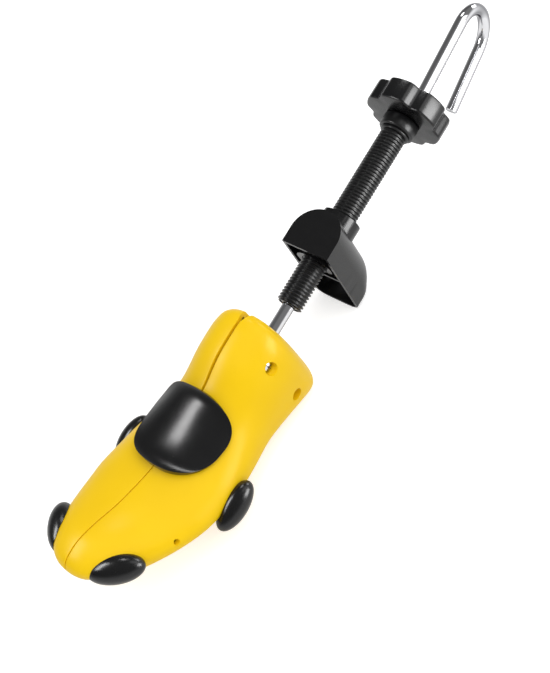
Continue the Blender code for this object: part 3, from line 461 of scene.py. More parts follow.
def math_node(tree, operation, *values):
    """A node that works on sockets and plain numbers."""
    made = tree.nodes.new("ShaderNodeMath")
    made.operation = operation
    for socket, value in zip(made.inputs, values):
        if isinstance(value, float):
            socket.default_value = value
        else:
            tree.links.new(value, socket)
    return made.outputs[0]


def range_node(tree, source, low, high, from_low, from_high):
    made = tree.nodes.new("ShaderNodeMapRange")
    for name, value in zip(("From Min", "From Max", "To Min", "To Max"), (from_low, from_high, low, high)):
        made.inputs[name].default_value = value
    tree.links.new(source, made.inputs["Value"])
    return made.outputs["Result"]


class Shader:
    """A material under construction: nodes by type, linked as they are made."""

    def __init__(self, name):
        self.material = bpy.data.materials.new("fine_" + name)
        self.material.use_nodes = True
        self.tree = self.material.node_tree
        self.principled = self.tree.nodes["Principled BSDF"]
        self.places = self.tree.nodes.new("ShaderNodeTexCoord").outputs["Object"]

    def set(self, **sockets):
        for name, value in sockets.items():
            self.principled.inputs[name.replace("_", " ")].default_value = value

    def node(self, kind, links=(), **values):
        made = self.tree.nodes.new("ShaderNode" + kind)
        for name, value in values.items():
            if name in made.inputs:
                made.inputs[name].default_value = value
            else:
                setattr(made, name, value)
        for name, source in links:
            self.tree.links.new(source, made.inputs[name])
        return made

    def stretched(self, x, y, z):
        """Coordinates stretched in the rod's own directions."""
        turned_back = self.node("Mapping", [("Vector", self.places)], vector_type="TEXTURE")
        turned_back.inputs["Rotation"].default_value = ROD.to_euler()
        scaled = self.node("Mapping", [("Vector", turned_back.outputs[0])])
        scaled.inputs["Scale"].default_value = (x, y, z)
        return scaled.outputs[0]

    def noise(self, scale, detail=3.0, roughness=0.5, places=None):
        made = self.node("TexNoise", [("Vector", places or self.places)])
        made.inputs["Scale"].default_value = scale
        made.inputs["Detail"].default_value = detail
        made.inputs["Roughness"].default_value = roughness
        return made.outputs["Fac"]

    def ranged(self, source, low, high, from_low=0.3, from_high=0.7):
        return range_node(self.tree, source, low, high, from_low, from_high)

    def mixed(self, factor, first, second):
        made = self.tree.nodes.new("ShaderNodeMix")
        made.data_type = "RGBA"
        colours = {"A": first, "B": second}
        for socket in made.inputs:
            if socket.type == "RGBA":
                socket.default_value = (*colours[socket.name], 1.0)
        self.tree.links.new(factor, made.inputs["Factor"])
        return [out for out in made.outputs if out.type == "RGBA"][0]

    def added(self, first, second):
        return math_node(self.tree, "ADD", first, second)

    def link(self, name, source):
        self.tree.links.new(source, self.principled.inputs[name])

    def bump(self, source, strength, distance):
        made = self.node("Bump", [("Height", source)])
        made.inputs["Strength"].default_value = strength
        made.inputs["Distance"].default_value = distance
        self.link("Normal", made.outputs["Normal"])


def plastic(name, colour, shade, rough, grain, level=0.5):
    """Glossy moulding: faint flow marks in the colour, a fine mould grain and light handling marks."""
    shader = Shader(name)
    shader.set(IOR=1.46, Specular_IOR_Level=level)
    flow = shader.noise(38.0, 2.0, 0.45)
    shader.link("Base Color", shader.mixed(shader.ranged(flow, 0.0, 1.0), colour, shade))
    smears = shader.ranged(shader.noise(110.0, 4.0, 0.6), *rough)
    scuffs = shader.noise(900.0, 2.0, 0.5, shader.stretched(0.08, 1.0, 1.0))
    scuffs = shader.ranged(scuffs, 0.0, 0.035, from_low=0.62, from_high=0.8)
    shader.link("Roughness", shader.added(smears, scuffs))
    shader.bump(shader.noise(1500.0, 2.0, 0.5), grain, 0.06 * MM)
    return shader.material


def brushed_metal(name, colour, shade, rough, grain):
    """Metal with a directional grain along the rod and patchy polish."""
    shader = Shader(name)
    shader.set(Metallic=1.0)
    patches = shader.noise(60.0, 3.0, 0.55)
    shader.link("Base Color", shader.mixed(shader.ranged(patches, 0.0, 1.0), colour, shade))
    lines = shader.noise(1400.0, 3.0, 0.6, shader.stretched(0.05, 1.0, 1.0))
    shader.link("Roughness", shader.ranged(lines, *rough))
    shader.bump(lines, grain, 0.04 * MM)
    return shader.material


def chrome(name):
    """Bright plate: mirror-like, with painted shade that darkens it where the surface turns away from the view,
    and fine polishing lines.
    """
    shader = Shader(name)
    shader.set(Metallic=1.0)
    patches = shader.noise(60.0, 3.0, 0.55)
    # Painted shade: the base colour turns darker where the surface faces away from the view, added to random
    # patches in the plate's tone.
    weight = shader.node("LayerWeight", Blend=0.5)
    edge = shader.ranged(weight.outputs["Facing"], 0.0, 1.0, 0.40, 0.62)
    patches_and_painted_shade = shader.added(shader.ranged(patches, 0.0, 0.08), edge)
    shader.link("Base Color", shader.mixed(patches_and_painted_shade, (0.80, 0.80, 0.82), (0.22, 0.22, 0.235)))
    lines = shader.noise(1600.0, 3.0, 0.6, shader.stretched(0.05, 1.0, 1.0))
    shader.link("Roughness", shader.ranged(lines, 0.05, 0.10))
    shader.bump(lines, 0.02, 0.04 * MM)
    return shader.material


def zinc(name):
    """Satin zinc plate with its faint crystal spangle."""
    shader = Shader(name)
    shader.set(Metallic=1.0)
    cells = shader.node("TexVoronoi", [("Vector", shader.places)], Scale=420.0)
    spangle = shader.ranged(cells.outputs["Distance"], 0.0, 1.0, 0.1, 0.8)
    shader.link("Base Color", shader.mixed(spangle, (0.56, 0.56, 0.58), (0.44, 0.44, 0.47)))
    shader.link("Roughness", shader.ranged(shader.noise(260.0, 4.0, 0.6), 0.3, 0.46))
    shader.bump(shader.noise(1100.0, 3.0, 0.6), 0.08, 0.05 * MM)
    return shader.material


def yellow(name):
    """Opaque yellow with a weak gloss, so that its colour holds in the highlights."""
    return plastic(name, (0.93, 0.60, 0.0045), (0.905, 0.575, 0.004), (0.30, 0.36), grain=0.03, level=0.15)


MAKERS = {
    "yellow_plastic": yellow,
    "black_plastic": lambda name: plastic(name, BLACK, BLACK_FLOW, (0.22, 0.26), 0.03),
    "black_thread": lambda name: plastic(name, BLACK, BLACK_FLOW, (0.31, 0.36), 0.03),
    "white_nylon": lambda name: plastic(name, (0.78, 0.77, 0.71), (0.70, 0.69, 0.63), (0.42, 0.55), 0.12),
    "chromed_steel": chrome,
    "brass": lambda name: brushed_metal(name, (0.74, 0.52, 0.20), (0.62, 0.42, 0.15), (0.2, 0.34), 0.08),
    "zinc_steel": zinc,
}


# The last


def share_spaced(share, even):
    """A share of the way that moves in closer steps near both ends, the more so the less is `even`."""
    return even * share + (1 - even) * (1 - math.cos(math.pi * share)) / 2


def station_x(q):
    """The place along the rod of a share of the last, from 0 at the neck to 1 at the toe."""
    return LAST_REAR - q * LAST_RUN


def sole_z(q):
    return -HEEL_DROP + q * LAST_RUN * math.tan(SOLE_ANGLE)


def section_sizes(q, curve=eased):
    top = TOE_RISE * curve(TOP, q)
    bottom = sole_z(q) + REAR_ROUND * max(0.0, 1 - q / REAR_ROUND_ENDS) ** 2
    sprung = max(0.0, q - TOE_SPRING_STARTS) / (1 - TOE_SPRING_STARTS)
    bottom += TOE_SPRING * sprung**2
    half_width = BALL_HALF_WIDTH * curve(WIDTH, q)
    widest = bottom + (top - bottom) * curve(WIDEST_LEVEL, q)
    return top, bottom, widest, half_width, curve(UPPER_SQUARENESS, q), curve(LOWER_SQUARENESS, q)


def lean_at(q, z):
    fade = max(0.0, 1 - q / LEAN_ENDS)
    neck = TOE_RISE * follow(TOP, LEAN_ENDS / 2)
    return fade * (REAR_LEAN * (neck - z) / (neck + HEEL_DROP) - REAR_REACH)


def seam_gap(x):
    return SEAM_GAP + max(0.0, x - HINGE_X) * math.tan(OPENING)


def skin_section(q, inset, forward, size, steps):
    """One half's outline, with a small round at each edge of the seam."""
    top, bottom, widest, half_width, upper, lower = section_sizes(q)
    middle = (top + bottom) / 2
    top, bottom, widest = (middle + (z - middle) * size for z in (top, bottom, widest))
    half_width *= size
    top -= inset
    bottom += inset
    widest = min(max(widest, bottom), top)
    half_width = max(half_width - inset, 2 * SEAM_ROUND)
    opened = min(1.0, max(0.0, 1 - q / SEAM_OPEN_ENDS) * 2)
    gap = seam_gap(station_x(q) - lean_at(q, top)) + SEAM_OPEN * opened
    shut = min(1.0, max(0.0, (HINGE_X - station_x(q)) / SEAM_SHUT_RUN))
    sole_gap = seam_gap(station_x(q) - lean_at(q, bottom)) * (1 - shut) + SEAM_SHUT * shut
    shoulder = SEAM_SHOULDER * SEAM_ROUND
    edge = []
    for k in range(SEAM_ROUND_STEPS):
        turn = math.pi / 2 * k / SEAM_ROUND_STEPS
        edge.append((SEAM_ROUND * (1 - math.cos(turn)), SEAM_ROUND * (1 - math.sin(turn))))

    def level(turn, power, reach):
        return widest + math.copysign(abs(math.sin(turn)) ** power, turn) * reach

    first = math.acos(min(1.0, (gap + shoulder) / half_width) ** (upper / 2))
    last = math.acos(min(1.0, (sole_gap + shoulder) / half_width) ** (lower / 2))
    points = [(gap + aside, top - down) for aside, down in edge]
    for k in range(steps + 1):
        share = k / steps
        turn = first * (1 - 2 * share) if share <= 0.5 else -last * (2 * share - 1)
        above = turn >= 0
        power = 2 / (upper if above else lower)
        reach = (top - widest) if above else (widest - bottom)
        points.append((half_width * max(0.0, math.cos(turn)) ** power, level(turn, power, reach)))
    points += [(sole_gap + aside, bottom + up) for aside, up in reversed(edge)]
    return [Vector((station_x(q) - lean_at(q, z) - forward, -y, z)) for y, z in points]


def skin_places(stations):
    """(station, inset, forward, share of its size) of each ring of the skin, from the neck to the nose."""
    places = []
    for k in range(REAR_EDGE_RINGS):
        turn = math.pi / 2 * k / REAR_EDGE_RINGS
        along = REAR_EDGE * (1 - math.cos(turn))
        places.append((along / LAST_RUN, REAR_EDGE * (1 - math.sin(turn)), 0.0, 1.0))
    start = REAR_EDGE / LAST_RUN
    for k in range(stations + 1):
        places.append((start + (1 - start) * share_spaced(k / stations, 0.45), 0.0, 0.0, 1.0))
    for k in range(1, TOE_BULGE_RINGS):
        turn = TOE_BULGE_STARTS + (math.pi / 2 - TOE_BULGE_STARTS) * k / TOE_BULGE_RINGS
        forward = TOE_BULGE * (math.sin(turn) - math.sin(TOE_BULGE_STARTS))
        places.append((1.0, 0.0, forward, math.cos(turn) / math.cos(TOE_BULGE_STARTS)))
    return places


def outer_half(stations=96, steps=56):
    return flat(loft([skin_section(*place, steps) for place in skin_places(stations)]))


def cavity_section(q, steps=20):
    """The outline of the room inside one half, a wall's thickness within the skin."""
    top, bottom, widest, half_width, upper, lower = section_sizes(q, follow)
    top -= LAST_WALL
    bottom += LAST_WALL
    half_width -= LAST_WALL
    outline = []
    for k in range(steps):
        turn = math.pi / 2 - math.pi * k / (steps - 1)
        above = turn >= 0
        power = 2 / (upper if above else lower)
        reach = (top - widest) if above else (widest - bottom)
        z = widest + math.copysign(abs(math.sin(turn)) ** power, turn) * reach
        outline.append([station_x(q) - lean_at(q, z), half_width * max(0.0, math.cos(turn)) ** power, z])
    outline[0][1] = -OVERRUN
    outline[-1][1] = -OVERRUN
    return [Vector((x, -y, z)) for x, y, z in outline]


def whole_last(grow, stations=64, steps=40):
    """The closed last, a little larger all round, which fits the backs of the pads to it."""
    rings = []
    for k in range(stations + 1):
        q = share_spaced(k / stations, 0.5)
        top, bottom, widest, half_width, upper, lower = section_sizes(q)
        ring = []
        for i in range(2 * steps):
            turn = math.pi / 2 - math.pi * i / steps
            height = math.sin(turn)
            across = math.cos(turn)
            above = height >= 0
            power = 2 / (upper if above else lower)
            reach = (top + grow - widest) if above else (widest - bottom + grow)
            y = math.copysign(abs(across) ** power, across) * (half_width + grow)
            z = widest + math.copysign(abs(height) ** power, height) * reach
            x = station_x(q) - lean_at(q, z) + grow * (1 - 2 * q)
            ring.append(Vector((x, -y, z)))
        rings.append(ring)
    return loft(rings)


def crown_z(x, y):
    """The height of the last's upper side."""
    q = (LAST_REAR - x) / LAST_RUN
    top, _, widest, half_width, upper, _ = section_sizes(q, follow)
    inside = max(0.0, 1 - (abs(y) / half_width) ** upper)
    return widest + (top - widest) * inside ** (1 / upper)


def crown_normal(x, y):
    step = 1.2 * MM
    slope_x = (crown_z(x + step, y) - crown_z(x - step, y)) / (2 * step)
    slope_y = (crown_z(x, y + step) - crown_z(x, y - step)) / (2 * step)
    return Vector((-slope_x, -slope_y, 1.0)).normalized()


def track_levels():
    low = CROSSHEAD_HALF_HEIGHT + TRACK_LIFT
    return low, low + TRACK_THICKNESS


def track_ends():
    """Where a follower pin starts and ends along the rod, as the half sees it."""
    ahead = CROSSHEAD_SETBACK + CROSSHEAD_TRAVEL
    along = ahead * math.cos(OPENING) + FOLLOWER_Y * math.sin(OPENING)
    return HINGE_X - CROSSHEAD_SETBACK, HINGE_X - along


def knuckle_level(place):
    low = FIRST_KNUCKLE_Z + place * (KNUCKLE_HEIGHT + SEAT_GAP)
    return low, low + KNUCKLE_HEIGHT


def pad_places():
    """Seat centre, outward direction and size of each pad on the right side."""
    q = BALL_PAD
    _, bottom, widest, half_width, _, lower = section_sizes(q, follow)
    z = bottom + BALL_PAD_LEVEL
    below = min(1.0, max(0.0, widest - z) / (widest - bottom))
    y = half_width * (1 - below**lower) ** (1 / lower) - BALL_PAD_SINK
    ball = Vector((station_x(q), -y, z))
    along = Vector((math.cos(SOLE_ANGLE), 0.0, -math.sin(SOLE_ANGLE)))
    across = Vector((0.0, -1.0, 0.0))
    q = TOE_PAD
    toe = Vector((station_x(q), -TOE_PAD_OUT, sole_z(q) + TOE_PAD_LEVEL))
    forward = across * math.cos(TOE_PAD_TURN) - along * math.sin(TOE_PAD_TURN)
    return ((ball, across, BALL_PAD_HALF_SIZES), (toe, forward, TOE_PAD_HALF_SIZES))


def half_hollow():
    """The room inside the right half, with its ribs, screw bosses and track ledge left standing."""
    low_q, high_q = CAVITY
    gaps = CAVITY_RINGS - 1
    rings = [cavity_section(low_q + (high_q - low_q) * k / gaps) for k in range(CAVITY_RINGS)]
    hollow = solid("hollow", flat(loft(rings)))
    far = BALL_HALF_WIDTH + OVERRUN
    tall = TOE_RISE + OVERRUN
    keep = []
    for share in RIBS:
        x = station_x(share)
        keep.append(span((x - RIB_THICKNESS / 2, -far, -tall), (x + RIB_THICKNESS / 2, far, tall)))
    boss_y = LEAF_INNER_Y + LEAF_THICKNESS + SEAT_GAP
    for _, setback, z in SCREW_PLACES:
        x = HINGE_X - setback
        keep.append(bar((x, -boss_y, z), (x, -far, z), BOSS_RADIUS))
    low, high = track_levels()
    rear, toe = track_ends()
    margin = FOLLOWER_RADIUS + TRACK_WALL + LEDGE_MARGIN
    low -= LEDGE_MARGIN
    high += LEDGE_MARGIN
    keep.append(span((toe - margin, -LEDGE_Y, low), (rear + margin, -far, high)))
    for mesh in keep:
        cut(hollow, mesh)
    mesh = bmesh.new()
    mesh.from_mesh(hollow.data)
    data = hollow.data
    bpy.data.objects.remove(hollow, do_unlink=True)
    bpy.data.meshes.remove(data)
    return mesh


def make_halves():
    half = solid("last_right", outer_half())
    cut(half, half_hollow())
    far = BALL_HALF_WIDTH + OVERRUN
    low, high = track_levels()
    rear, toe = track_ends()
    edge = FOLLOWER_RADIUS + TRACK_WALL + SEAT_GAP
    groove_y = TRACK_OUTER_Y + SEAT_GAP
    tools = [span((toe - edge, 0.0, low - SEAT_GAP), (rear + edge, -groove_y, high + SEAT_GAP))]
    stack = knuckle_level(3)[1] + PIN_END + SEAT_GAP
    mouths = (
        (KNUCKLE_RADIUS, stack),
        (LEAF_INNER_Y + LEAF_THICKNESS, knuckle_level(2)[1]),
    )
    for across, up in mouths:
        y = -across - REAR_OPENING_MARGIN
        z = up + REAR_OPENING_MARGIN
        tools.append(span((HINGE_X - ARM_HALF_DEPTH, OVERRUN, -z), (LAST_REAR + OVERRUN, y, z)))
    boss_y = LEAF_INNER_Y + LEAF_THICKNESS + SEAT_GAP
    seat_y = boss_y + SCREW_SEAT
    for _, setback, z in SCREW_PLACES:
        x = HINGE_X - setback
        tools.append(bar((x, -seat_y, z), (x, -far, z), RECESS_RADIUS, sides=40))
        tools.append(bar((x, -LEAF_INNER_Y, z), (x, -far, z), SCREW_SHANK_RADIUS + RUN_GAP))
    share, height = PLUG_HOLE
    top, bottom, *_ = section_sizes(share)
    z = bottom + (top - bottom) * height
    x = station_x(share)
    tools.append(bar((x, -BALL_HALF_WIDTH / 2, z), (x, -far, z), PLUG_HOLE_RADIUS))
    for centre, out, _ in pad_places():
        deep = centre - out * (PAD_PEG_LENGTH + OVERRUN)
        tools.append(bar(deep, centre + out * OVERRUN, PAD_PEG_RADIUS + RUN_GAP))
    x = station_x(SADDLE_CENTRE)
    tools.append(bar((x, 0.0, high), (x, 0.0, TOE_RISE + OVERRUN), SADDLE_PEG_RADIUS + RUN_GAP))
    for mesh in tools:
        cut(half, mesh)
    left = mirrored(half, "last_left")
    dress(half, "half_right", ["last_half_right"], "yellow_plastic")
    dress(left, "half_left", ["last_half_left"], "yellow_plastic")


def make_pads():
    up = Vector((math.sin(SOLE_ANGLE), 0.0, math.cos(SOLE_ANGLE)))
    level = Vector((0.0, 0.0, 1.0))
    for name, place, lift in zip(("ball", "toe"), pad_places(), (level, up)):
        centre, out, half_sizes = place
        along = lift.cross(out).normalized()
        turn = Matrix((along, lift, out)).transposed().to_4x4()
        mesh = bmesh.new()
        spot = Matrix.Translation(centre) @ turn @ Matrix.Diagonal((*half_sizes, 1.0))
        bmesh.ops.create_uvsphere(mesh, u_segments=64, v_segments=36, radius=1, matrix=spot)
        pad = solid(name + "_pad_fine_right", flat(finished(mesh)))
        cut(pad, whole_last(SEAT_GAP))
        root = centre - out * PAD_PEG_LENGTH
        join(pad, bar(root, centre + out * half_sizes[2] / 2, PAD_PEG_RADIUS))
        left = mirrored(pad, name + "_pad_fine_left")
        dress(pad, "half_right", [name + "_pad_right"], "black_plastic")
        dress(left, "half_left", [name + "_pad_left"], "black_plastic")


def make_saddle():
    centre_x = station_x(SADDLE_CENTRE)
    columns = 56
    rows = 40
    rings = []
    for i in range(columns + 1):
        turn = math.pi / 2 * (2 * i / columns - 1)
        y_share = SADDLE_TIP * math.sin(turn)
        half = SADDLE_HALF_LENGTH * (1 - abs(y_share) ** SADDLE_SQUARENESS) ** (1 / SADDLE_SQUARENESS)
        y = SADDLE_HALF_WIDTH * y_share
        over = []
        under = []
        for j in range(rows + 1):
            along = math.sin(math.pi / 2 * (2 * j / rows - 1))
            x = centre_x + half * along
            seat = Vector((x, y, crown_z(x, y)))
            out = crown_normal(x, y)
            lip = SADDLE_LIP * along**SADDLE_LIP_GATHER * (half / SADDLE_HALF_LENGTH) ** SADDLE_LIP_NARROW
            under.append(seat + out * SADDLE_SEAT)
            over.append(seat + out * (SADDLE_SEAT + SADDLE_THIN + lip))
        rings.append(over + list(reversed(under)))
    saddle = solid("saddle_shell", loft(rings))
    bevel(saddle, SADDLE_EDGE, angle=50.0, segments=4)
    crown = crown_z(centre_x, 0.0)
    foot = (centre_x, 0.0, crown - SADDLE_PEG_DROP)
    join(saddle, bar(foot, (centre_x, 0.0, crown + SADDLE_THIN / 2), SADDLE_PEG_RADIUS))
    dress(saddle, "saddle", ["instep_saddle"], "black_plastic", smooth=40.0)


def screw_head(name, side, x, seat_y, z):
    """A pan head with a cross recess, closed underneath by a ring that is as small as a point."""
    top = seat_y + SCREW_HEAD_HEIGHT
    crown = SCREW_HEAD_HEIGHT / 2
    point = 0.01 * MM
    steps = 6
    profile = [(seat_y, point), (seat_y, SCREW_HEAD_RADIUS), (top - crown, SCREW_HEAD_RADIUS)]
    for k in range(1, steps + 1):
        turn = math.pi / 2 * k / steps
        radius = SCREW_HEAD_RADIUS * (SCREW_HEAD_FLAT + (1 - SCREW_HEAD_FLAT) * math.cos(turn))
        profile.append((top - crown * (1 - math.sin(turn)), radius))
    turns = [2 * math.pi * k / SCREW_HEAD_SIDES for k in range(SCREW_HEAD_SIDES)]
    rings = []
    for y, radius in profile:
        rings.append([Vector((x + radius * math.cos(t), side * y, z + radius * math.sin(t))) for t in turns])
    head = solid(name, flat(loft(rings)))
    deep = side * (top - SLOT_DEPTH)
    high = side * (top + OVERRUN)
    for across, up in ((SLOT_HALF_LENGTH, SLOT_HALF_WIDTH), (SLOT_HALF_WIDTH, SLOT_HALF_LENGTH)):
        cut(head, span((x - across, deep, z - up), (x + across, high, z + up)))
    return head


def make_screws():
    seat_y = LEAF_INNER_Y + LEAF_THICKNESS + SEAT_GAP + SCREW_SEAT + SEAT_GAP
    tip_y = LEAF_INNER_Y - SCREW_TIP
    for side, word in ((-1, "right"), (1, "left")):
        for level, setback, z in SCREW_PLACES:
            x = HINGE_X - setback
            place = seat_y + SCREW_RISE[level]
            head = screw_head(f"screw_head_{word}_{level}", side, x, place, z)
            root_y = place + SCREW_HEAD_ROOT
            join(head, bar((x, side * tip_y, z), (x, side * root_y, z), SCREW_SHANK_RADIUS))
            dress(head, "half_" + word, [f"leaf_screw_{word}_{level}"], "chromed_steel", smooth=40.0)


# The rod, the tube and the knob


def screw_places():
    """Where the bead, the collar, the knob's front, its web and the spigot end along the rod."""
    bead_end = TUBE_LENGTH + BEAD_LENGTH
    collar_end = bead_end + TUBE_COLLAR_LENGTH
    knob_front = collar_end + SEAT_GAP
    web_end = knob_front + KNOB_WEB
    return bead_end, collar_end, knob_front, web_end, web_end + SPIGOT_END


def hook_path():
    """(point, heading, radius, place on the thread) along the rod, with a chamfer at each end."""
    here = Vector((HINGE_X - ROD_TOE_END, 0.0, 0.0))
    heading = 0.0
    thread_end = HINGE_X - ROD_THREAD_END
    steps = int((thread_end - here.x) / ROD_PITCH * ROD_THREAD_STEPS)
    chamfer, chamfer_depth = ROD_TOE_CHAMFER
    rows = [(here.copy(), heading, ROD_RADIUS - chamfer_depth, None)]
    for k in range(steps + 1):
        x = here.x + chamfer + (thread_end - here.x - chamfer) * k / steps
        rows.append((Vector((x, 0.0, 0.0)), heading, ROD_RADIUS, x))
    here = Vector((thread_end + ROD_THREAD_FADE, 0.0, 0.0))
    rows.append((here.copy(), heading, ROD_RADIUS, None))

    def move(length, course):
        nonlocal here
        here = here + length * Vector((math.cos(course), 0.0, math.sin(course)))

    def straight(length):
        """A straight part, with a ring near each end so that the smoothing stays there."""
        for part in (RING_STEP, length - 2 * RING_STEP, RING_STEP):
            move(part, heading)
            rows.append((here.copy(), heading, ROD_RADIUS, None))

    def bend(radius, angle):
        nonlocal heading
        steps = round(abs(math.degrees(angle)) / BEND_STEP)
        for _ in range(steps):
            move(2 * radius * math.sin(abs(angle) / steps / 2), heading + angle / steps / 2)
            heading += angle / steps
            rows.append((here.copy(), heading, ROD_RADIUS, None))

    clip_end = screw_places()[-1] + SEAT_GAP + CLIP_THICKNESS
    straight(clip_end + HOOK_START_MARGIN - here.x)
    bend(CRANK_RADIUS, -CRANK_ANGLE)
    bend(CRANK_RADIUS, CRANK_ANGLE + HOOK_LEAN)
    straight(HOOK_LEG)
    bend(HOOK_BEND_RADIUS, -HOOK_BEND_ANGLE)
    straight(HOOK_TAIL - HOOK_CHAMFER)
    move(HOOK_CHAMFER, heading)
    rows.append((here.copy(), heading, ROD_RADIUS - HOOK_CHAMFER, None))
    return rows


def make_rod():
    across = Vector((0.0, 1.0, 0.0))
    rings = []
    for here, heading, radius, thread in hook_path():
        normal = Vector((-math.sin(heading), 0.0, math.cos(heading)))
        ring = []
        for k in range(ROD_SIDES):
            turn = 2 * math.pi * k / ROD_SIDES
            reach = radius
            if thread is not None:
                phase = (thread / ROD_PITCH - turn / (2 * math.pi)) % 1.0
                reach -= ROD_THREAD_DEPTH * (1 - abs(2 * phase - 1))
            ring.append(here + reach * (math.cos(turn) * normal + math.sin(turn) * across))
        rings.append(ring)
    rod = solid("hooked_rod", loft(rings))
    dress(rod, "rod", ["hook_rod"], "chromed_steel", smooth=40.0)


def ridge(phase):
    """Height of the tube's thread, from 0 in the root to 1 on the crest, over one turn."""
    place = abs(2 * (phase % 1.0) - 1)
    if place < TUBE_THREAD_CREST:
        return 1.0
    if place < TUBE_THREAD_CREST + 2 * TUBE_THREAD_RISE:
        t = (place - TUBE_THREAD_CREST) / (2 * TUBE_THREAD_RISE)
        return 0.5 + 0.5 * math.cos(math.pi * t)
    return 0.0


def kept_at(turn):
    """The share of the thread's height that is left near the mould's two parting lines."""
    off = min(abs((math.degrees(turn) + 180 - side) % 360 - 180) for side in PARTING_SIDES)
    return min(1.0, 1 - PARTING_DIP + PARTING_DIP * max(0.0, off - PARTING_HALF_WIDTH) / PARTING_FADE)


def make_tube():
    bead_end, collar_end, _, _, spigot_end = screw_places()
    counterbore = STOP_RING_RADIUS + RUN_GAP
    ring_seat = TUBE_TOE_END + STOP_RING_INSET + STOP_RING_LENGTH + SEAT_GAP
    run = TUBE_LENGTH - TUBE_TOE_END
    steps = int(run / TUBE_PITCH * TUBE_THREAD_STEPS)
    toe_fade, collar_fade = TUBE_THREAD_FADES
    rows = []
    for k in range(steps + 1):
        x = TUBE_TOE_END + run * k / steps
        fade = min(1.0, (x - TUBE_TOE_END) / toe_fade, (TUBE_LENGTH - x) / collar_fade)
        rows.append((x, None, max(0.0, fade)))
    collar = TUBE_COLLAR_RADIUS
    front_edge, rear_edge = TUBE_COLLAR_EDGES
    front_round = 0.35 * MM
    rear_round = 0.3 * MM
    plain = [
        (TUBE_LENGTH, TUBE_ROOT), (TUBE_LENGTH, BEAD_RADIUS - BEAD_EDGE),
        (TUBE_LENGTH + BEAD_EDGE, BEAD_RADIUS), (bead_end - BEAD_EDGE, BEAD_RADIUS),
        (bead_end, BEAD_RADIUS - BEAD_EDGE),
        (bead_end, collar - front_edge), (bead_end + front_round, collar - front_round),
        (bead_end + front_edge, collar), (collar_end - rear_edge, collar),
        (collar_end - rear_round, collar - rear_round), (collar_end, collar - rear_edge),
        (collar_end, SPIGOT_RADIUS), (spigot_end - SPIGOT_EDGE, SPIGOT_RADIUS),
        (spigot_end, SPIGOT_RADIUS - SPIGOT_EDGE), (spigot_end, TUBE_BORE), (ring_seat, TUBE_BORE),
        (ring_seat, counterbore), (TUBE_TOE_END, counterbore),
    ]
    rows += [(x, radius, 0.0) for x, radius in plain]
    rings = []
    for x, radius, fade in rows:
        ring = []
        for k in range(TUBE_SIDES):
            turn = 2 * math.pi * k / TUBE_SIDES
            reach = radius
            if radius is None:
                height = (TUBE_RADIUS - TUBE_ROOT) * fade * kept_at(turn)
                reach = TUBE_ROOT + height * ridge(x / TUBE_PITCH - turn / (2 * math.pi))
            ring.append(Vector((x, -reach * math.sin(turn), reach * math.cos(turn))))
        rings.append(ring)
    tube = solid("threaded_tube", loft(rings, ends=False))
    dress(tube, "length_screw", ["length_tube"], "black_plastic", smooth=62.0, finish="black_thread")


def knob_outline(samples=360, blur=4):
    """Radius of the lobed edge all round: notches with flat walls between the lobes, corners rounded off."""
    centre = KNOB_RADIUS + NOTCH_RADIUS - NOTCH_DEPTH
    cosine = (centre**2 + KNOB_RADIUS**2 - NOTCH_RADIUS**2) / (2 * centre * KNOB_RADIUS)
    half_notch = math.acos(cosine)
    corner = Vector((KNOB_RADIUS * math.cos(half_notch), KNOB_RADIUS * math.sin(half_notch)))
    bottom = Vector((KNOB_RADIUS - NOTCH_DEPTH, 0.0))
    wall = corner - bottom
    pitch = 2 * math.pi / KNOB_LOBES
    sharp = []
    for k in range(samples):
        turn = 2 * math.pi * k / samples
        off = abs((turn + pitch / 2) % pitch - pitch / 2)
        radius = KNOB_RADIUS
        if off < half_notch:
            radius = bottom.x * wall.y / (wall.y * math.cos(off) - wall.x * math.sin(off))
        sharp.append(radius)
    radii = []
    for k in range(samples):
        near = [sharp[(k + d) % samples] * (blur + 1 - abs(d)) for d in range(-blur, blur + 1)]
        radii.append(sum(near) / (blur + 1) ** 2)
    shift = math.pi / KNOB_LOBES
    return [(radius, 2 * math.pi * k / samples + shift) for k, radius in enumerate(radii)]


def make_knob():
    """The knob, ring by ring: its bore, front face, lobed edge and back face, and the dish round its web."""
    _, _, front, web_end, _ = screw_places()
    back = front + KNOB_THICKNESS
    outline = knob_outline()
    bore = SPIGOT_RADIUS + SEAT_GAP
    dish = KNOB_DISH_RADIUS
    fillet = 0.8 * MM
    taper = 0.2 * MM
    front_inset, back_inset = KNOB_FACE_INSETS
    corner = []
    for k in range(KNOB_EDGE_STEPS + 1):
        turn = math.pi / 2 * k / KNOB_EDGE_STEPS
        corner.append((KNOB_EDGE * (1 - math.cos(turn)), KNOB_EDGE * (1 - math.sin(turn))))
    lobed = [(front + along, inset) for along, inset in corner]
    lobed += [(back - along, inset) for along, inset in reversed(corner)]
    rings = []

    def plain(x, radius):
        rings.append([Vector((x, radius * math.sin(t), radius * math.cos(t))) for _, t in outline])

    plain(web_end, bore)
    plain(front + KNOB_BORE_EDGE, bore)
    plain(front, bore + KNOB_BORE_EDGE)
    plain(front, dish + front_inset)
    for x, inset in lobed:
        rings.append([Vector((x, (r - inset) * math.sin(t), (r - inset) * math.cos(t))) for r, t in outline])
    plain(back, dish + back_inset)
    plain(back, dish + KNOB_DISH_EDGE)
    plain(back - KNOB_DISH_EDGE, dish)
    plain(web_end + fillet, dish - taper)
    plain(web_end, dish - taper - fillet)
    knob = solid("lobed_knob", loft(rings, ends=False))
    dress(knob, "length_screw", ["length_knob"], "black_plastic", smooth=38.0)


# The heel block


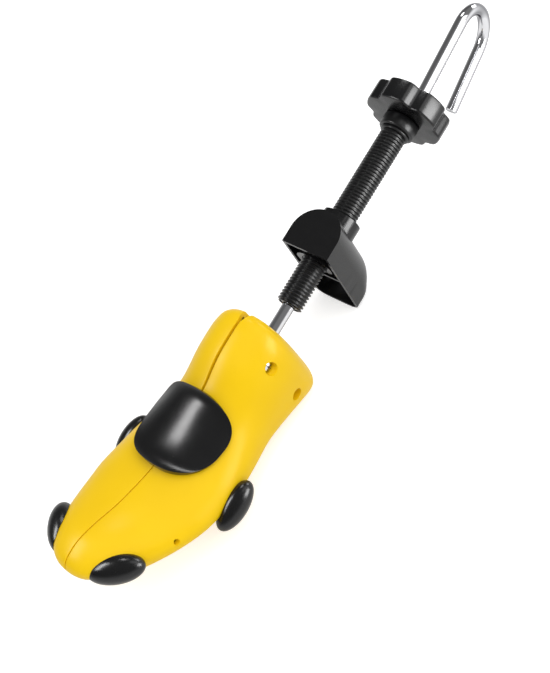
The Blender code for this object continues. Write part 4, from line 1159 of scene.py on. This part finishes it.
def block_ring(z, inset, front_overrun, arc_steps):
    """The block's outline at a height: straight in front and round behind, narrower near its foot."""
    down = (BLOCK_TOP_Z - z) / BLOCK_HEIGHT
    front = BLOCK_FRONT_TOP_X + (BLOCK_FRONT_BOTTOM_X - BLOCK_FRONT_TOP_X) * down - front_overrun
    rise = z - (BLOCK_TOP_Z - BLOCK_HEIGHT)
    back = BLOCK_FRONT_TOP_X + BLOCK_DEPTH - BLOCK_BACK_TAPER * down
    below = max(0.0, 1 - rise / BLOCK_FOOT_ROUND)
    foot = back - BLOCK_FRONT_BOTTOM_X - BLOCK_FOOT_DEPTH
    back -= foot * (1 - math.sqrt(max(0.0, 1 - below**2)))
    aside = max(0.0, 1 - rise / BLOCK_KEEL_DROP)
    half_width = BLOCK_HALF_WIDTH - BLOCK_KEEL_SPREAD * (1 - math.sqrt(max(0.0, 1 - aside**2))) - inset
    back -= inset
    depth = min(half_width, (back - front - front_overrun) * BLOCK_ROUND)
    ring = [Vector((front, -half_width, z))]
    for k in range(arc_steps + 1):
        turn = -math.pi / 2 + math.pi * k / arc_steps
        ring.append(Vector((back - depth + depth * math.cos(turn), half_width * math.sin(turn), z)))
    ring.append(Vector((front, half_width, z)))
    return ring


def block_levels(low, high, steps):
    """Heights from low to high, closer together near the foot, where the block curves."""
    foot = BLOCK_TOP_Z - BLOCK_HEIGHT
    levels = [min(max(foot + BLOCK_HEIGHT * (k / steps) ** 2, low), high) for k in range(steps + 1)]
    return sorted(set(levels) | {low, high})


def make_block():
    foot = BLOCK_TOP_Z - BLOCK_HEIGHT
    rings = [block_ring(z, 0.0, 0.0, arc_steps=48) for z in block_levels(foot, BLOCK_TOP_Z, steps=36)]
    block = solid("block_moulding", flat(loft(rings)))
    rooms = ((foot + BLOCK_WALL, BLOCK_SHELF_Z - BLOCK_WALL), (BLOCK_SHELF_Z, BLOCK_TOP_Z - BLOCK_WALL))
    for low, high in rooms:
        levels = block_levels(low, high, steps=24)
        cut(block, loft([block_ring(z, BLOCK_WALL, OVERRUN, arc_steps=32) for z in levels]))
    join(block, bar((NUT_FRONT_X, 0.0, 0.0), (NUT_BACK_X, 0.0, 0.0), NUT_RADIUS, sides=64))
    bore = TUBE_RADIUS + SEAT_GAP
    cut(block, bar((NUT_FRONT_X - OVERRUN, 0.0, 0.0), (NUT_BACK_X + OVERRUN, 0.0, 0.0), bore, sides=64))
    bevel(block, BLOCK_EDGE, angle=42.0, segments=3)
    dress(block, "heel_block", ["heel_block"], "black_plastic", smooth=38.0)


def finish_frame_nodes():
    """The pieces inside keep their solids, with smooth turned faces and a fine finish."""
    slots = {part["node"]: part["material_slot"] for part in frame["record"]["subparts"]}
    for name, node in frame["nodes"].items():
        if node.hide_render:
            continue
        node.data.materials.clear()
        node.data.materials.append(finish_of(slots[name]))
        node.data.shade_smooth()
        node.data.set_sharp_from_angle(angle=math.radians(30))


# Studio


def add_light(name, spot, target, size, power, diffuse=True, glossy=True):
    data = bpy.data.lights.new(name, "AREA")
    data.shape = "RECTANGLE"
    data.size, data.size_y = size
    data.energy = power
    light = bpy.data.objects.new(name, data)
    bpy.context.scene.collection.objects.link(light)
    light.visible_diffuse = diffuse
    light.visible_glossy = glossy
    light.visible_camera = False
    light.location = spot
    light.rotation_euler = (target - spot).to_track_quat("-Z", "Y").to_euler()


def rod_point(x, y, z):
    return ROD @ Vector((x, y, z))


def light_up():
    """One soft lamp, and five cards that only reflections show, with sizes in metres and powers in watts."""
    last = rod_point(-0.09, 0.0, 0.02)
    beyond_toe = Vector((-0.30, 0.0, 0.06))
    knob = rod_point(0.14, 0.0, 0.02)
    hook = rod_point(0.17, 0.0, 0.0)
    add_light("key", last + Vector((0.25, -0.5, 1.3)), last, (1.6, 1.6), 12.0, glossy=False)
    # name, place, what it faces, size and power; the names say where a card's reflection shows
    cards = (
        ("saddle_card", Vector((-0.30, 0.215, 0.45)), beyond_toe, (0.34, 0.12), 2.1),
        ("rim_card", Vector((0.64, 0.34, 0.90)), last, (0.2, 0.2), 1.8),
        ("toe_card", Vector((1.27, -0.08, 0.35)), last, (0.5, 0.3), 4.0),
        ("knob_card", knob + Vector((0.125, -0.50, 0.075)), knob, (0.30, 0.28), 3.4),
        ("hook_card", hook + Vector((0.09, -0.23, 0.26)), hook, (0.28, 0.36), 0.45),
    )
    for card in cards:
        add_light(*card, diffuse=False)


def add_sky():
    """White to the camera, soft to matt surfaces, and for reflections dimmer behind (Y) and overhead (Z)."""
    world = bpy.data.worlds.new("studio")
    bpy.context.scene.world = world
    world.use_nodes = True
    tree = world.node_tree
    back = tree.nodes["Background"]
    path = tree.nodes.new("ShaderNodeLightPath").outputs
    split = tree.nodes.new("ShaderNodeSeparateXYZ")
    tree.links.new(tree.nodes.new("ShaderNodeTexCoord").outputs["Generated"], split.inputs[0])
    behind = range_node(tree, split.outputs["Y"], low=1.0, high=0.6, from_low=-0.1, from_high=0.35)
    overhead = range_node(tree, split.outputs["Z"], low=1.0, high=0.2, from_low=0.02, from_high=0.35)
    sky = math_node(tree, "MULTIPLY", overhead, behind)
    glossy = path["Is Glossy Ray"]
    mirrored_sky = math_node(tree, "MULTIPLY", sky, glossy)
    plain_sky = range_node(tree, glossy, low=DIFFUSE_SKY, high=0.0, from_low=0.0, from_high=1.0)
    lit = math_node(tree, "ADD", mirrored_sky, plain_sky)
    tree.links.new(math_node(tree, "MAXIMUM", lit, path["Is Camera Ray"]), back.inputs["Strength"])
    back.inputs["Color"].default_value = (1.0, 1.0, 1.0, 1.0)


def add_floor():
    """A matt floor with a glow of its own for the camera and a weaker one for reflections."""
    mesh = bmesh.new()
    bmesh.ops.create_grid(mesh, x_segments=8, y_segments=8, size=FLOOR_SIZE)
    floor = solid("floor", mesh)
    material = bpy.data.materials.new("floor_white")
    material.use_nodes = True
    tree = material.node_tree
    shader = tree.nodes["Principled BSDF"].inputs
    shader["Base Color"].default_value = (FLOOR_WHITE, FLOOR_WHITE, FLOOR_WHITE, 1.0)
    shader["Roughness"].default_value = FLOOR_ROUGHNESS
    shader["Specular IOR Level"].default_value = 0.0
    shader["Emission Color"].default_value = (1.0, 1.0, 1.0, 1.0)
    path = tree.nodes.new("ShaderNodeLightPath").outputs
    mirrored_floor = math_node(tree, "MULTIPLY", path["Is Glossy Ray"], FLOOR_MIRRORED)
    glow = math_node(tree, "MULTIPLY_ADD", path["Is Camera Ray"], FLOOR_SEEN, mirrored_floor)
    tree.links.new(glow, shader["Emission Strength"])
    floor.data.materials.append(material)


def add_camera():
    """The photograph's camera, which is solved in the rod's frame."""
    data = bpy.data.cameras.new("camera")
    data.sensor_fit = "VERTICAL"
    data.sensor_height = SENSOR_HEIGHT
    data.lens = LENS
    data.clip_start = 0.01
    camera = bpy.data.objects.new("camera", data)
    bpy.context.scene.collection.objects.link(camera)
    ahead = CAMERA_AHEAD.normalized()
    up = CAMERA_RIGHT.normalized().cross(ahead).normalized()
    right = ahead.cross(up).normalized()
    matrix = Matrix((right, up, -ahead)).transposed().to_4x4()
    matrix.translation = CAMERA_PLACE
    camera.matrix_world = ROD @ matrix
    bpy.context.scene.camera = camera


add_camera()
make_halves()
make_pads()
make_saddle()
make_screws()
make_rod()
make_tube()
make_knob()
make_block()
finish_frame_nodes()
light_up()
add_sky()
add_floor()
bpy.context.scene.view_settings.view_transform = "Standard"
bpy.context.view_layer.update()
